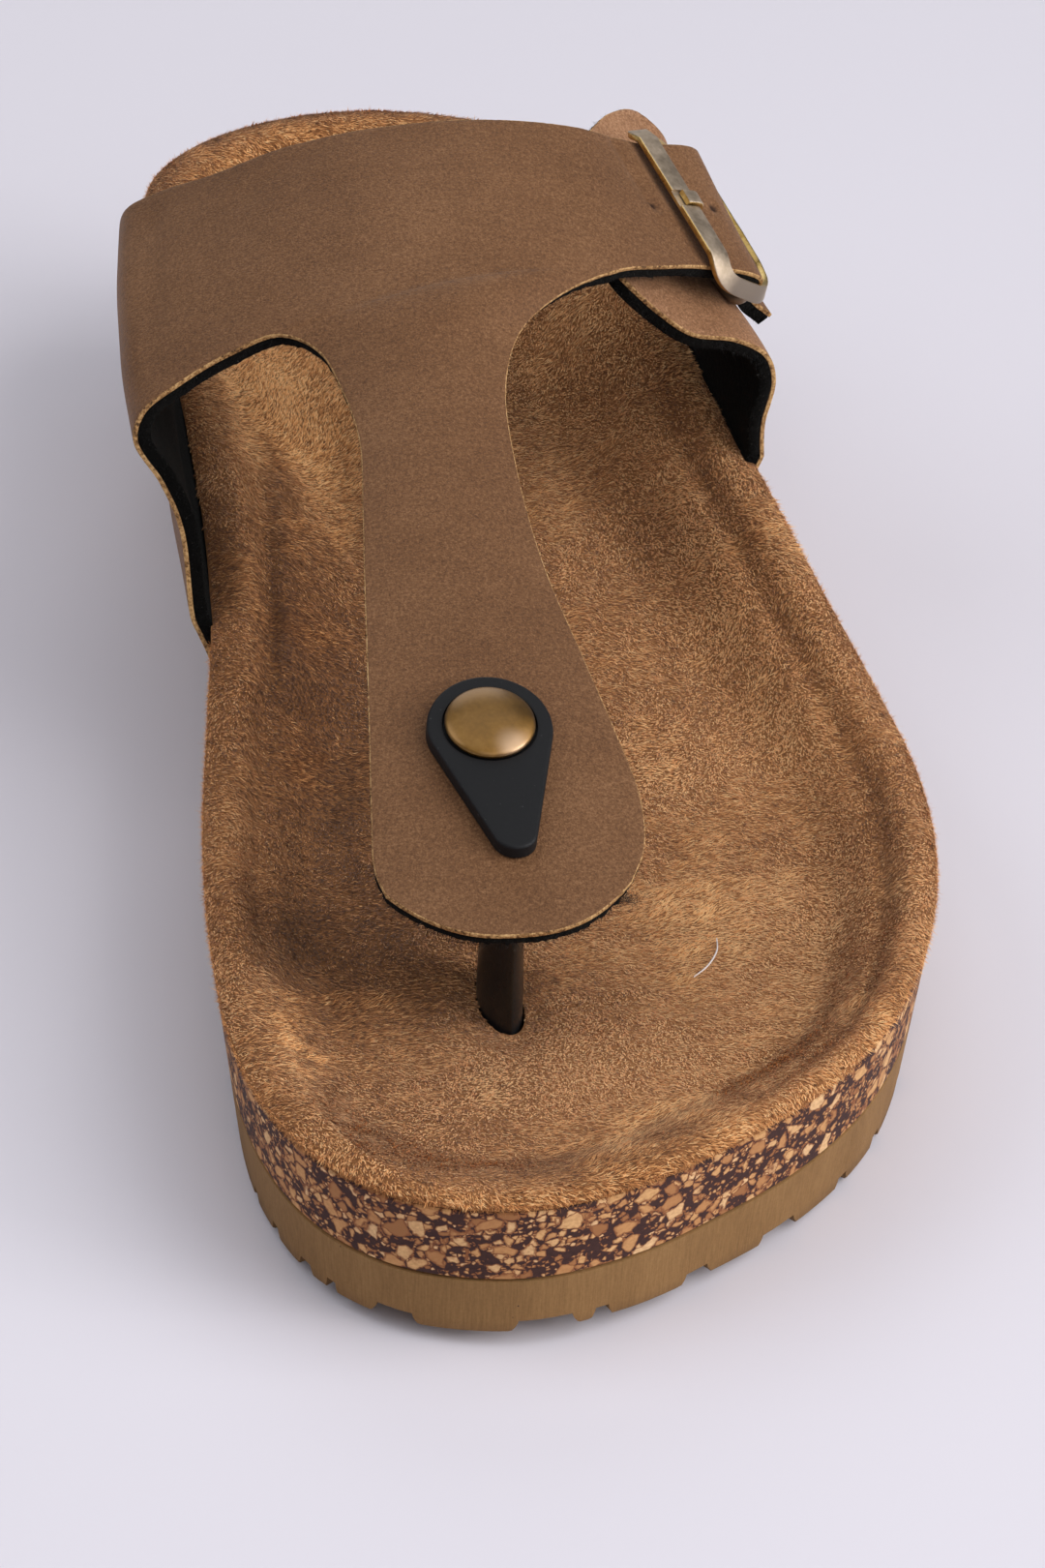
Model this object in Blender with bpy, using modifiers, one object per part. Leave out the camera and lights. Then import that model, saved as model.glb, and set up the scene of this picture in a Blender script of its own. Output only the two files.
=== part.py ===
"""Left toe post sandal: cork footbed on a foam outsole, a T-shaped strap with a
toe post, and a buckled outer strap.  Sizes in the tables are millimetres; the
toe points to -Y, the heel to +Y, the outer (little toe) side to +X, +Z is up.
"""
import math

import bmesh
import bpy
import numpy as np
from mathutils import Vector

# ------------------------------------------------------------------ sizes
MM = 0.001
GAP = 0.3                  # clearance between neighbouring pieces
SOLE_LENGTH = 250.0
Y_HEEL = 125.0             # y of station 0 (back of the heel)
SHIFT_X, SHIFT_Y = 3.876, -0.157   # puts the origin under the middle of the shoe

WALL = 2.4                 # strap: leather and felt together
INSOLE_THICK = 1.6
INSOLE_EDGE = 0.75         # thickness of its trimmed edge

# plan of the sole: distance from the heel, inner edge, outer edge
PLAN_COLUMNS = ("s", "medial", "lateral")
PLAN = (
    (3.0, -12.0, 12.2),
    (9.0, -22.5, 23.6),
    (19.0, -30.5, 30.6),
    (35.0, -34.5, 35.3),
    (55.0, -35.1, 37.4),
    (80.0, -33.7, 40.0),
    (105.0, -33.5, 44.1),
    (125.0, -34.8, 47.3),
    (145.0, -37.5, 50.3),
    (165.0, -40.4, 52.2),
    (180.0, -41.9, 51.2),
    (195.0, -42.7, 48.0),
    (210.0, -42.7, 42.0),
    (222.0, -41.2, 34.6),
    (232.0, -38.0, 24.9),
    (240.0, -33.0, 13.5),
    (246.5, -25.0, 1.5),
)
HEEL_TIP = (0.8, 0.0)      # s, x
TOE_TIP = (249.6, -12.0)

# side heights of the sole: ground line (below 0: flat on the floor), foam/cork
# joint, rim, bed in the middle, and the run over which the rim falls to the bed
SIDE_COLUMNS = ("s", "ground", "joint", "rim", "bed", "run")
SIDE = (
    (0.0, -0.3, 12.0, 38.6, 28.5, 17.0),
    (40.0, -0.3, 11.8, 38.6, 27.0, 19.0),
    (75.0, 0.9, 11.3, 35.4, 25.6, 20.0),
    (100.0, 1.3, 10.9, 30.9, 23.2, 19.0),
    (130.0, 0.9, 10.5, 26.0, 19.9, 17.0),
    (165.0, -0.4, 10.2, 22.4, 17.4, 13.5),
    (200.0, -0.4, 10.1, 21.4, 17.1, 11.5),
    (225.0, 0.7, 10.0, 20.9, 18.2, 10.5),
    (250.0, 2.2, 10.0, 20.5, 20.4, 11.5),
)
RING_DEPTHS = (0.0, 0.8, 2.6, 5.5, 9.0, 13.0, 18.0)   # rings in from the edge
RIM_CROWN = 1.3            # the crest stands this far above the rim line
EDGE_ROUND = 0.7           # how far the rim's outer corner is rounded down
CREST = 2.6                # the rim is highest this far in

# how far the side walls lean in from the rim down to the ground
TAPER_COLUMNS = ("s", "medial", "lateral")
TAPER = (
    (0.0, 4.0, 4.0),
    (30.0, 5.0, 4.0),
    (65.0, 5.5, 3.6),
    (85.0, 5.0, 3.2),
    (105.0, 3.0, 2.8),
    (125.0, 1.8, 2.4),
    (160.0, 2.8, 2.8),
    (195.0, 3.0, 2.8),
    (225.0, 2.5, 2.4),
    (250.0, 0.9, 0.9),
)

# lugs: notches round the lower edge, and chevron grooves across the bottom
NOTCH_PITCH = (15.5, 8.5)
# notches round the front: distance along the outline from the toe tip (outer
# side positive) and half width
FRONT_NOTCHES = (
    (-49.0, 1.5), (-40.5, 1.6), (-31.5, 2.0), (-26.0, 1.3), (-16.0, 3.4), (3.0, 4.4), (10.4, 1.6),
    (24.8, 2.8), (39.2, 4.0), (53.8, 1.8), (65.0, 2.0),
)
FRONT_RANGE = (-56.0, 72.0)
NOTCH_HALF = 2.4
NOTCH_DEPTH = 1.7
NOTCH_REACH = 7.0
GROOVE_PITCH = 14.0
GROOVE_HALF = 1.5
GROOVE_DEPTH = 2.0
CHEVRON = (11.0, 3.0)      # half wave and height of the zigzag

# T-strap, outer face: front edge and rear edge of each section from the inner
# (medial) sole edge over the instep to the loose end past the buckle.
# bow: outward bulge at mid width (below 0: pressed in); hug: 1 = follows the sole's side, with its
# outer face "out" beyond that side
BAND_COLUMNS = ("section", "fx", "fy", "fz", "rx", "ry", "rz", "bow", "hug", "out")
BAND = (
    ("end", -35.6, -2.0, 11.0, -34.9, 57.0, 12.1, 0.0, 1.0, -0.1),
    ("side", -35.7, -1.3, 20.5, -34.9, 56.6, 29.5, 0.0, 1.0, -0.1),
    ("edge", -36.9, -0.6, 25.4, -35.6, 56.2, 35.0, 0.5, 0.45, 1.0),
    ("rim", -37.8, 0.0, 28.2, -36.8, 55.8, 38.0, 1.0, 0.25, 2.0),
    ("kink", -38.7, 3.6, 40.0, -37.4, 54.4, 46.0, 1.4, 0.0, 2.0),
    ("flare", -40.9, 5.3, 45.5, -39.2, 53.3, 52.0, 1.4, 0.0, 0.0),
    ("bulge", -44.3, 6.9, 51.3, -41.3, 52.2, 57.8, 1.2, 0.0, 0.0),
    ("turn", -43.1, 7.6, 55.3, -40.8, 51.1, 62.2, 1.2, 0.0, 0.0),
    ("shoulder", -38.2, 9.1, 58.4, -36.8, 49.4, 65.6, 0.9, 0.0, 0.0),
    ("ramp", -31.9, 10.4, 61.6, -29.4, 46.9, 69.3, 0.6, 0.0, 0.0),
    ("inner_throat", -25.3, 10.8, 64.0, -20.0, 45.2, 73.8, 0.4, 0.0, 0.0),
    ("inner_top", -13.2, 11.6, 67.8, -10.0, 44.1, 76.4, 0.3, 0.0, 0.0),
    ("top", -1.6, 13.9, 69.3, 0.0, 43.7, 77.5, 0.3, 0.0, 0.0),
    ("outer_top", 10.4, 17.0, 68.8, 11.0, 44.2, 76.9, 0.3, 0.0, 0.0),
    ("outer_throat", 21.8, 20.7, 66.0, 19.5, 45.6, 74.8, 0.3, 0.0, 0.0),
    ("fall", 28.6, 25.6, 63.6, 25.0, 48.2, 71.8, 0.2, 0.0, 0.0),
    ("inner_bar", 36.0, 31.2, 60.3, 29.0, 50.6, 69.5, 0.0, 0.0, 0.0),
    ("hump", 44.4, 36.1, 55.5, 38.6, 56.0, 65.2, 0.0, 0.0, 0.0),
    ("outer_bar", 44.7, 41.4, 49.5, 38.0, 58.9, 58.0, 0.0, 0.0, 0.0),
    ("tip", 47.5, 42.2, 46.6, 41.6, 57.2, 53.0, 0.0, 0.0, 0.0),
)
THROAT = ("inner_throat", "outer_throat")   # the tongue starts between these

# tongue of the T: inner and outer edge of each section down to the toe end,
# crown: rise of the middle, nose: how far the middle runs ahead of the edges
TONGUE_COLUMNS = ("lx", "ly", "lz", "rx", "ry", "rz", "crown", "nose")
TONGUE = (
    (-20.7, 6.7, 64.0, 13.0, 14.0, 66.4, 3.2, 0.0),
    (-18.2, -2.6, 62.2, 6.6, 7.3, 64.9, 2.4, 0.0),
    (-17.3, -11.4, 60.1, 3.0, -3.0, 62.5, 1.8, 0.0),
    (-18.4, -23.0, 56.9, 2.3, -19.5, 57.9, 1.5, 0.0),
    (-19.7, -34.7, 53.2, 3.5, -34.5, 53.2, 1.4, 0.0),
    (-21.0, -47.5, 49.2, 5.9, -47.5, 49.1, 1.5, 0.0),
    (-22.3, -59.5, 45.4, 8.2, -60.0, 45.3, 1.6, 0.0),
    (-23.5, -70.5, 41.7, 9.8, -70.5, 41.8, 1.6, 0.8),
    (-24.2, -79.0, 39.1, 9.1, -78.0, 39.4, 1.5, 3.4),
    (-23.4, -83.2, 38.1, 6.8, -83.2, 38.1, 1.3, 8.4),
)

# outer buckle strap, outer face, from the sole's side up to its end under the band
OUTER_COLUMNS = BAND_COLUMNS
OUTER = (
    ("end", 44.0, 27.0, 11.4, 38.0, 69.0, 12.2, 0.0, 1.0, -0.1),
    ("side", 44.0, 27.1, 24.0, 38.0, 69.0, 31.5, 0.0, 1.0, -0.1),
    ("edge", 43.9, 27.2, 30.0, 38.2, 68.9, 36.8, 0.0, 1.0, 0.3),
    ("rim", 43.9, 27.3, 32.8, 38.8, 68.8, 39.8, 0.0, 0.9, 1.5),
    ("wall", 44.2, 27.3, 38.0, 39.2, 68.4, 46.6, -0.6, 0.0, 1.5),
    ("bulge", 45.4, 27.7, 44.2, 38.8, 67.6, 52.4, -1.6, 0.0, 0.0),
    ("turn", 44.0, 27.3, 48.5, 37.4, 66.8, 57.4, -2.4, 0.0, 0.0),
    ("over", 39.3, 26.1, 51.8, 36.0, 66.8, 62.2, -2.4, 0.0, 0.0),
    ("shelf", 33.0, 24.8, 53.7, 32.0, 67.2, 66.0, -0.8, 0.0, 0.0),
    ("rise", 28.6, 25.2, 56.8, 27.6, 63.0, 68.0, 0.0, 0.0, 0.0),
    ("under", 23.6, 26.0, 61.6, 22.4, 54.0, 68.9, 0.0, 0.0, 0.0),
    ("lip", 20.2, 30.0, 64.2, 19.4, 46.0, 69.4, 0.0, 0.0, 0.0),
)
BOND_AT = ("outer_throat", 0.0, 0.6, 0.42, 0.76)   # where the straps are joined: section, u0, u1, t0, t1

# buckle
BAR_LIFT, FAR_LIFT = 1.6, 2.2           # middle of the inner and outer bar above the strap
BAR_WIDE, BAR_THICK = 3.5, 1.3
END_WIDE = 2.6             # width of the short ends
BAR_TILT, FAR_TILT = math.radians(20), math.radians(36)   # inner and outer bar lean, outer edge down
END_TILT = math.radians(60)             # and so do the short ends
FRAME_REAR, FRAME_FRONT = 13.2, 14.0    # middle of the short ends along the bars
FRAME_SKEW = 1.2           # the front end is this much further back on the outer side
DIP_REAR, DIP_FRONT = 1.2, 1.2          # the short ends dip this far
DIP_SPAN = 2.6             # the dip starts this far before an end
CORNER, CORNER_OUT = 3.0, 5.0           # corner radii; the larger is at the outer bar's front
CENTRE_DROP = 2.9          # centre bar under the strap, below the bars
CENTRE_BAR_R = 0.85
PIN_WIDE, PIN_THICK = 2.3, 0.8
PIN_IN = 2.75              # where the pin comes up, from the inner bar
PIN_L = 0.9                # and where along the bar
NOTCH_FLOOR = 0.1          # the pin's notch in the inner bar, above its middle

# toe post moulding and rivet
PLATE_CENTRE = (-7.8, -61.6)     # middle of the round end, over the tongue
PLATE_R, PLATE_TIP_R, PLATE_TIP = 7.75, 2.4, 17.0
PLATE_THICK = 2.3
POST_CENTRE = (-7.8, -76.2)
POST_TURN = math.radians(3.5)    # the post's long axis turns outwards at the toe
POST_COLUMNS = ("z", "half_wide", "half_long", "tilt")
POST = (
    (11.0, 2.3, 6.6, 0.0),
    (17.0, 2.6, 7.0, 0.0),
    (26.0, 2.45, 6.9, 0.0),
    (36.4, 2.4, 6.5, 0.2),
    (38.5, 2.3, 6.2, 0.3),
    (38.55, 1.7, 4.0, 0.3),
    (43.4, 1.7, 3.6, 0.3),
)
RIVET_R, RIVET_HIGH = 5.6, 1.6


# ------------------------------------------------------------------ scene
for ob in list(bpy.data.objects):
    bpy.data.objects.remove(ob, do_unlink=True)
for col in list(bpy.data.collections):
    bpy.data.collections.remove(col)

parts = bpy.data.collections.new("toe_post_sandal")
cutters = bpy.data.collections.new("cutters")
for col in (parts, cutters):
    bpy.context.scene.collection.children.link(col)


def material(name, rgb, rough, metal=0.0):
    mat = bpy.data.materials.new(name)
    mat.use_nodes = True
    node = mat.node_tree.nodes["Principled BSDF"]
    node.inputs["Base Color"].default_value = (*rgb, 1.0)
    node.inputs["Roughness"].default_value = rough
    node.inputs["Metallic"].default_value = metal
    return mat


FOAM = material("olive_foam", (0.16, 0.105, 0.050), 0.85)
CORK = material("cork_chips", (0.20, 0.105, 0.045), 0.8)
NAP = material("tan_nap", (0.33, 0.18, 0.085), 0.95)
LEATHER = material("brown_leather", (0.135, 0.080, 0.045), 0.55)
RUBBER = material("black_rubber", (0.012, 0.012, 0.013), 0.5)
BRASS = material("aged_brass", (0.34, 0.25, 0.10), 0.35, 1.0)


def to_world(p):
    return Vector(((p[0] - SHIFT_X) * MM, (p[1] - SHIFT_Y) * MM, p[2] * MM))


def finish(bm, name, mat, smooth=True, cutter=False):
    me = bpy.data.meshes.new(name)
    bm.to_mesh(me)
    bm.free()
    if smooth:
        me.shade_smooth()
        me.set_sharp_from_angle(angle=math.radians(38))
    ob = bpy.data.objects.new(name, me)
    if cutter:
        cutters.objects.link(ob)
        ob.hide_render = True
        ob.display_type = "WIRE"
    else:
        parts.objects.link(ob)
    if mat:
        me.materials.append(mat)
    return ob


def boolean(ob, other, operation):
    mod = ob.modifiers.new(other.name, "BOOLEAN")
    mod.operation = operation
    mod.solver = "EXACT"
    mod.object = other
    return mod


# ------------------------------------------------------------------ curves
def spline(points, per, closed=False, before=None, after=None):
    """Points on a smooth curve through the given ones, per steps a segment."""
    pts = np.asarray(points, float)
    if closed:
        ext = np.vstack([pts[-1], pts, pts[:2]])
    else:
        first = 2 * pts[0] - pts[1] if before is None else np.asarray(before, float)
        last = 2 * pts[-1] - pts[-2] if after is None else np.asarray(after, float)
        ext = np.vstack([first, pts, last])
    out = []
    count = len(ext) - 3
    for k in range(count):
        p = ext[k:k + 4]
        t = np.zeros(4)
        for j in range(1, 4):
            t[j] = t[j - 1] + max(np.linalg.norm(p[j] - p[j - 1]), 1e-6) ** 0.5
        steps = np.linspace(t[1], t[2], per + 1)
        if closed or k < count - 1:
            steps = steps[:-1]
        for s in steps:
            a = [p[j] * (t[j + 1] - s) / (t[j + 1] - t[j])
                 + p[j + 1] * (s - t[j]) / (t[j + 1] - t[j]) for j in range(3)]
            b = [a[j] * (t[j + 2] - s) / (t[j + 2] - t[j])
                 + a[j + 1] * (s - t[j]) / (t[j + 2] - t[j]) for j in range(2)]
            out.append(b[0] * (t[2] - s) / (t[2] - t[1]) + b[1] * (s - t[1]) / (t[2] - t[1]))
    return np.array(out)


def unit(v):
    v = np.asarray(v, float)
    return v / np.linalg.norm(v)


def smooth01(x):
    x = np.clip(x, 0.0, 1.0)
    return x * x * (3 - 2 * x)


# ------------------------------------------------------------------ sole form
def outline():
    """Closed plan outline: heel, inner side, toe, outer side."""
    loop = [(HEEL_TIP[1], Y_HEEL - HEEL_TIP[0])]
    loop += [(m, Y_HEEL - s) for s, m, _ in PLAN]
    loop += [(TOE_TIP[1], Y_HEEL - TOE_TIP[0])]
    loop += [(l, Y_HEEL - s) for s, _, l in reversed(PLAN)]
    return spline(loop, 12, closed=True)


EDGE = outline()
TOE_AT = int(np.argmin(EDGE[:, 1]))
MEDIAL, LATERAL = EDGE[:TOE_AT + 1], EDGE[TOE_AT:]


def side_x(y, side):
    half = MEDIAL[::-1] if side < 0 else LATERAL
    return np.interp(y, half[:, 1], half[:, 0])


def side_table(column, y):
    k = SIDE_COLUMNS.index(column)
    s = Y_HEEL - np.asarray(y, float)
    rows = np.array(SIDE)
    fine = spline(rows[:, [0, k]], 8)
    return np.maximum(np.interp(s, fine[:, 0], fine[:, 1]), 0.0)


def taper(y, side):
    """Lean of the side wall at y: side -1 is the inner side, +1 the outer."""
    rows = np.array(TAPER)
    s = Y_HEEL - np.asarray(y, float)
    inner, outer = (np.interp(s, rows[:, 0], rows[:, k]) for k in (1, 2))
    w = 0.5 + 0.5 * side
    return inner * (1 - w) + outer * w


def lean(y, z, side):
    """How far the side wall is in from the rim's outline at height z."""
    rim = side_table("rim", y)
    return taper(y, side) * np.clip((rim - z) / rim, 0.0, 1.0)


def resample(path, n):
    """n inner points, evenly spaced along a path, without its ends."""
    d = np.r_[0, np.cumsum(np.linalg.norm(np.diff(path, axis=0), axis=1))]
    at = np.linspace(0, d[-1], n + 2)[1:-1]
    return np.stack([np.interp(at, d, path[:, k]) for k in range(path.shape[1])], 1)


SPINE_HEEL, SPINE_TOE, LEVELS = Y_HEEL - 33.0, Y_HEEL - 212.0, 15
TOE_FAN, HEEL_FAN = 13, 11


def footprint():
    """Outline points, each with the point of the middle line that it faces."""
    ys = np.linspace(SPINE_HEEL, SPINE_TOE, LEVELS + 1)
    med = [(side_x(y, -1), y) for y in ys]
    lat = [(side_x(y, 1), y) for y in ys]
    spine = [((a[0] + b[0]) / 2, a[1]) for a, b in zip(med, lat)]
    toe_path = np.vstack([MEDIAL[MEDIAL[:, 1] < SPINE_TOE], LATERAL[LATERAL[:, 1] < SPINE_TOE][1:]])
    toe_path = np.vstack([med[-1], toe_path, lat[-1]])
    heel_path = np.vstack([LATERAL[LATERAL[:, 1] > SPINE_HEEL], MEDIAL[MEDIAL[:, 1] > SPINE_HEEL]])
    heel_path = np.vstack([lat[0], heel_path, med[0]])
    points = list(med)
    facing = list(range(LEVELS + 1))
    points += list(resample(toe_path, TOE_FAN))
    facing += [LEVELS] * TOE_FAN
    points += lat[::-1]
    facing += list(range(LEVELS, -1, -1))
    points += list(resample(heel_path, HEEL_FAN))
    facing += [0] * HEEL_FAN
    return np.array(points), facing, np.array(spine)


POINTS, FACING, SPINE = footprint()
INWARD = SPINE[FACING] - POINTS
REACH = np.linalg.norm(INWARD, axis=1)
INWARD = INWARD / REACH[:, None]
SIDE_OF = np.clip((POINTS[:, 0] - SPINE[FACING][:, 0]) / 22.0, -1.0, 1.0)


def bed_height(y, depth):
    """Top of the footbed: rim crest near the edge, falling to the bed."""
    rim, bed, run = (side_table(c, y) for c in ("rim", "bed", "run"))
    fall = (rim + RIM_CROWN - bed) * smooth01((depth - CREST) / run)
    edge = EDGE_ROUND * np.clip(1 - depth / CREST, 0, 1) ** 2
    return rim + RIM_CROWN - fall - edge


def insole_under(y, depth):
    thin = (INSOLE_THICK - INSOLE_EDGE) * np.clip(1 - depth / CREST, 0, 1) ** 2
    return bed_height(y, depth) - INSOLE_THICK + thin


def layer(bm, depths, height):
    rings = []
    for d in depths:
        ring = []
        for p, inward, side in zip(POINTS, INWARD, SIDE_OF):
            q = p + inward * (d + float(lean(p[1], height(p[1], 0.0), side)))
            ring.append(bm.verts.new(to_world((q[0], q[1], float(height(q[1], d))))))
        rings.append(ring)
    middle = [bm.verts.new(to_world((q[0], q[1], float(height(q[1], 40.0))))) for q in SPINE]
    return rings, middle


def skin(bm, rings, middle, up):
    n = len(POINTS)

    def face(*vs):
        bm.faces.new(vs if up else tuple(reversed(vs)))

    for a, b in zip(rings[:-1], rings[1:]):
        for i in range(n):
            j = (i + 1) % n
            face(a[i], a[j], b[j], b[i])
    last = rings[-1]
    for i in range(n):
        j = (i + 1) % n
        if FACING[i] == FACING[j]:
            face(last[i], last[j], middle[FACING[i]])
        else:
            face(last[i], last[j], middle[FACING[j]], middle[FACING[i]])


def sole_solid(name, top, bottom, top_depths, bottom_depths, mat):
    bm = bmesh.new()
    rings_t, mid_t = layer(bm, top_depths, top)
    rings_b, mid_b = layer(bm, bottom_depths, bottom)
    skin(bm, rings_t, mid_t, True)
    skin(bm, rings_b, mid_b, False)
    n = len(POINTS)
    for i in range(n):
        j = (i + 1) % n
        bm.faces.new((rings_t[0][i], rings_b[0][i], rings_b[0][j], rings_t[0][j]))
    return finish(bm, name, mat)


insole = sole_solid("insole", bed_height, insole_under, RING_DEPTHS, RING_DEPTHS, NAP)
midsole = sole_solid("midsole", lambda y, d: insole_under(y, d) - GAP,
                     lambda y, d: side_table("joint", y) + GAP / 2, RING_DEPTHS, (0.0, 14.0), CORK)
outsole = sole_solid("outsole", lambda y, d: side_table("joint", y) - GAP / 2,
                     lambda y, d: side_table("ground", y), (0.0, 14.0), (0.0, 6.0, 16.0), FOAM)


# ------------------------------------------------------------------ lugs
def prism(bm, ring_a, ring_b):
    """Closed solid between two matching polygons."""
    va = [bm.verts.new(to_world(p)) for p in ring_a]
    vb = [bm.verts.new(to_world(p)) for p in ring_b]
    n = len(va)
    made = [bm.faces.new(list(reversed(va))), bm.faces.new(vb)]
    for i in range(n):
        j = (i + 1) % n
        made.append(bm.faces.new((va[i], va[j], vb[j], vb[i])))
    bmesh.ops.recalc_face_normals(bm, faces=made)


def notch_cutters():
    bm = bmesh.new()
    d = np.r_[0, np.cumsum(np.linalg.norm(np.diff(np.vstack([EDGE, EDGE[:1]]), axis=0), axis=1))]
    loop = np.vstack([EDGE, EDGE[:1]])
    places = [(d[TOE_AT] + a, half) for a, half in FRONT_NOTCHES]
    at, k = 4.0, 0
    while at < d[-1] - 6.0:
        if not FRONT_RANGE[0] < at - d[TOE_AT] < FRONT_RANGE[1]:
            places.append((at, NOTCH_HALF))
        at += NOTCH_PITCH[k % 2]
        k += 1
    for at, half in places:
        p = np.array([np.interp(at, d, loop[:, c]) for c in (0, 1)])
        q = np.array([np.interp(at + 0.5, d, loop[:, c]) for c in (0, 1)])
        along = unit(q - p)
        inward = np.array([-along[1], along[0]])
        ground = float(side_table("ground", p[1]))
        top = half - 0.45 * NOTCH_HALF * min(1.0, half / NOTCH_HALF)
        profile = [(-half - 0.6, -3.0), (half + 0.6, -3.0), (half, 0.0),
                   (top, NOTCH_DEPTH), (-top, NOTCH_DEPTH), (-half, 0.0)]
        rings = []
        for reach in (-4.0, NOTCH_REACH + 0.8 * float(taper(p[1], 0.0))):
            base = p + inward * reach
            rings.append([(*(base + along * a), ground + h) for a, h in profile])
        prism(bm, *rings)
    return finish(bm, "edge_notches", None, cutter=True)


def groove_cutters():
    bm = bmesh.new()
    half, high = CHEVRON
    y = Y_HEEL - 16.0
    while y > Y_HEEL - 240.0:
        m, l = side_x(y, -1) + 13.0, side_x(y, 1) - 13.0
        xs = np.arange(m, l + 0.1, (l - m) / max(2, round((l - m) / half)))
        path = [(x, y + high * (k % 2)) for k, x in enumerate(xs)]
        z0 = -3.0
        z1 = float(side_table("ground", y)) + GROOVE_DEPTH
        rings = []
        for x, yy in path:
            w = GROOVE_HALF
            rings.append([(x, yy - w, z0), (x, yy + w, z0), (x, yy + 0.8 * w, z1), (x, yy - 0.8 * w, z1)])
        loops = [[bm.verts.new(to_world(p)) for p in r] for r in rings]
        made = [bm.faces.new(list(reversed(loops[0]))), bm.faces.new(loops[-1])]
        for a, b in zip(loops[:-1], loops[1:]):
            for i in range(4):
                j = (i + 1) % 4
                made.append(bm.faces.new((a[i], a[j], b[j], b[i])))
        bmesh.ops.recalc_face_normals(bm, faces=made)
        y -= GROOVE_PITCH
    return finish(bm, "bottom_grooves", None, cutter=True)


boolean(outsole, notch_cutters(), "DIFFERENCE").use_self = True   # notches meet at their inner ends
boolean(outsole, groove_cutters(), "DIFFERENCE")


# ------------------------------------------------------------------ straps
PER = 3                    # steps between two sections
ACROSS = 6                 # steps across a strap


def columns(table, names, *wanted):
    k = [names.index(w) for w in wanted]
    return np.array([[row[i] for i in k] for row in table], float)


def row_of(table, name):
    return [r[0] for r in table].index(name)


TONGUE_L = columns(TONGUE, TONGUE_COLUMNS, "lx", "ly", "lz")
TONGUE_R = columns(TONGUE, TONGUE_COLUMNS, "rx", "ry", "rz")
BAND_F = columns(BAND, BAND_COLUMNS, "fx", "fy", "fz")
BAND_R = columns(BAND, BAND_COLUMNS, "rx", "ry", "rz")
I0, I1 = (row_of(BAND, n) for n in THROAT)


def band_edges(per):
    """Front and rear edge of the T-strap's band; the front edge runs smoothly
    into the tongue's edges at the two throats."""
    front = np.vstack([
        spline(BAND_F[:I0 + 1], per, after=TONGUE_L[0])[:-1],
        spline(BAND_F[I0:I1 + 1], per)[:-1],
        spline(BAND_F[I1:], per, before=TONGUE_R[0])])
    return front, spline(BAND_R, per)


def strap_point(front, rear, bow, hug, out, t, side):
    p = front + (rear - front) * t
    if bow:
        chord = np.array([-1.0 if side < 0 else 1.0, 0.0, 0.35]) if abs(p[0]) > 30 else np.array([0, 0, 1.0])
        p = p + unit(chord) * bow * (4 * t * (1 - t) if bow > 0 else 6.75 * t * t * (1 - t))
    if hug:
        p[0] += hug * (side_x(p[1], side) + side * (out - lean(p[1], p[2], side)) - p[0])
    return p


def ramp(table, names, column, per):
    k = names.index(column)
    values = [row[k] for row in table]
    at = np.linspace(0, len(values) - 1, (len(values) - 1) * per + 1)
    return np.interp(at, range(len(values)), values)


def band_grid(per=PER, across=ACROSS, t0=0.0, t1=1.0):
    front, rear = band_edges(per)
    lift = zip(*(ramp(BAND, BAND_COLUMNS, c, per) for c in ("bow", "hug", "out")))
    ts = np.linspace(t0, t1, across + 1)
    return np.array([[strap_point(f, r, *row, t, -1 if f[0] < 10 else 1) for t in ts]
                     for f, r, row in zip(front, rear, lift)])


def tongue_grid(first, per=PER):
    """Rows from the band's front edge (first) down to the toe end."""
    n = len(first)
    c = np.linspace(0, 1, n)[:, None]
    left = spline(np.vstack([first[0], TONGUE_L]), per, before=BAND_F[I0 - 1])
    right = spline(np.vstack([first[-1], TONGUE_R]), per, before=BAND_F[I1 + 1])
    crown = np.interp(np.linspace(0, len(TONGUE), len(left)), range(len(TONGUE) + 1),
                      [4.0] + [row[6] for row in TONGUE])
    nose = np.interp(np.linspace(0, len(TONGUE), len(left)), range(len(TONGUE) + 1),
                     [0.0] + [row[7] for row in TONGUE])
    rows = []
    for k in range(len(left)):
        arc = 4 * c * (1 - c)
        row = left[k] * (1 - c) + right[k] * c + arc * crown[k] * np.array([[0, 0, 1.0]])
        round_end = 1 - np.abs(2 * c - 1) ** 2.4
        row = row + round_end * nose[k] * np.array([[0, -1.0, -0.3]])
        rows.append(row)
    shift = first - rows[0]
    run = 2.5 * per
    return np.array([row + shift * (1 - smooth01(k / run)) for k, row in enumerate(rows)])


def sheet(name, grids, flip, thick, offset, mat, cutter=False):
    """Open surface from grids that share edges, with a wall on it."""
    bm = bmesh.new()
    for grid in grids:
        vs = [[bm.verts.new(to_world(p)) for p in row] for row in grid]
        for a, b in zip(vs[:-1], vs[1:]):
            for i in range(len(a) - 1):
                quad = (a[i], b[i], b[i + 1], a[i + 1])
                bm.faces.new(tuple(reversed(quad)) if flip else quad)
    bmesh.ops.remove_doubles(bm, verts=bm.verts, dist=1e-6)
    ob = finish(bm, name, mat, cutter=cutter)
    mod = ob.modifiers.new("wall", "SOLIDIFY")
    mod.thickness = thick * MM
    mod.offset = offset
    mod.use_even_offset = True
    mod.use_quality_normals = True
    return ob


band = band_grid()
first = band[I0 * PER:I1 * PER + 1, 0]
tongue = tongue_grid(first)
# tongue rows run to the toe, band columns run outwards: same facing once turned
upper = sheet("upper", [band, np.transpose(tongue[::-1], (1, 0, 2))], False, WALL, -1.0, LEATHER)


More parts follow.
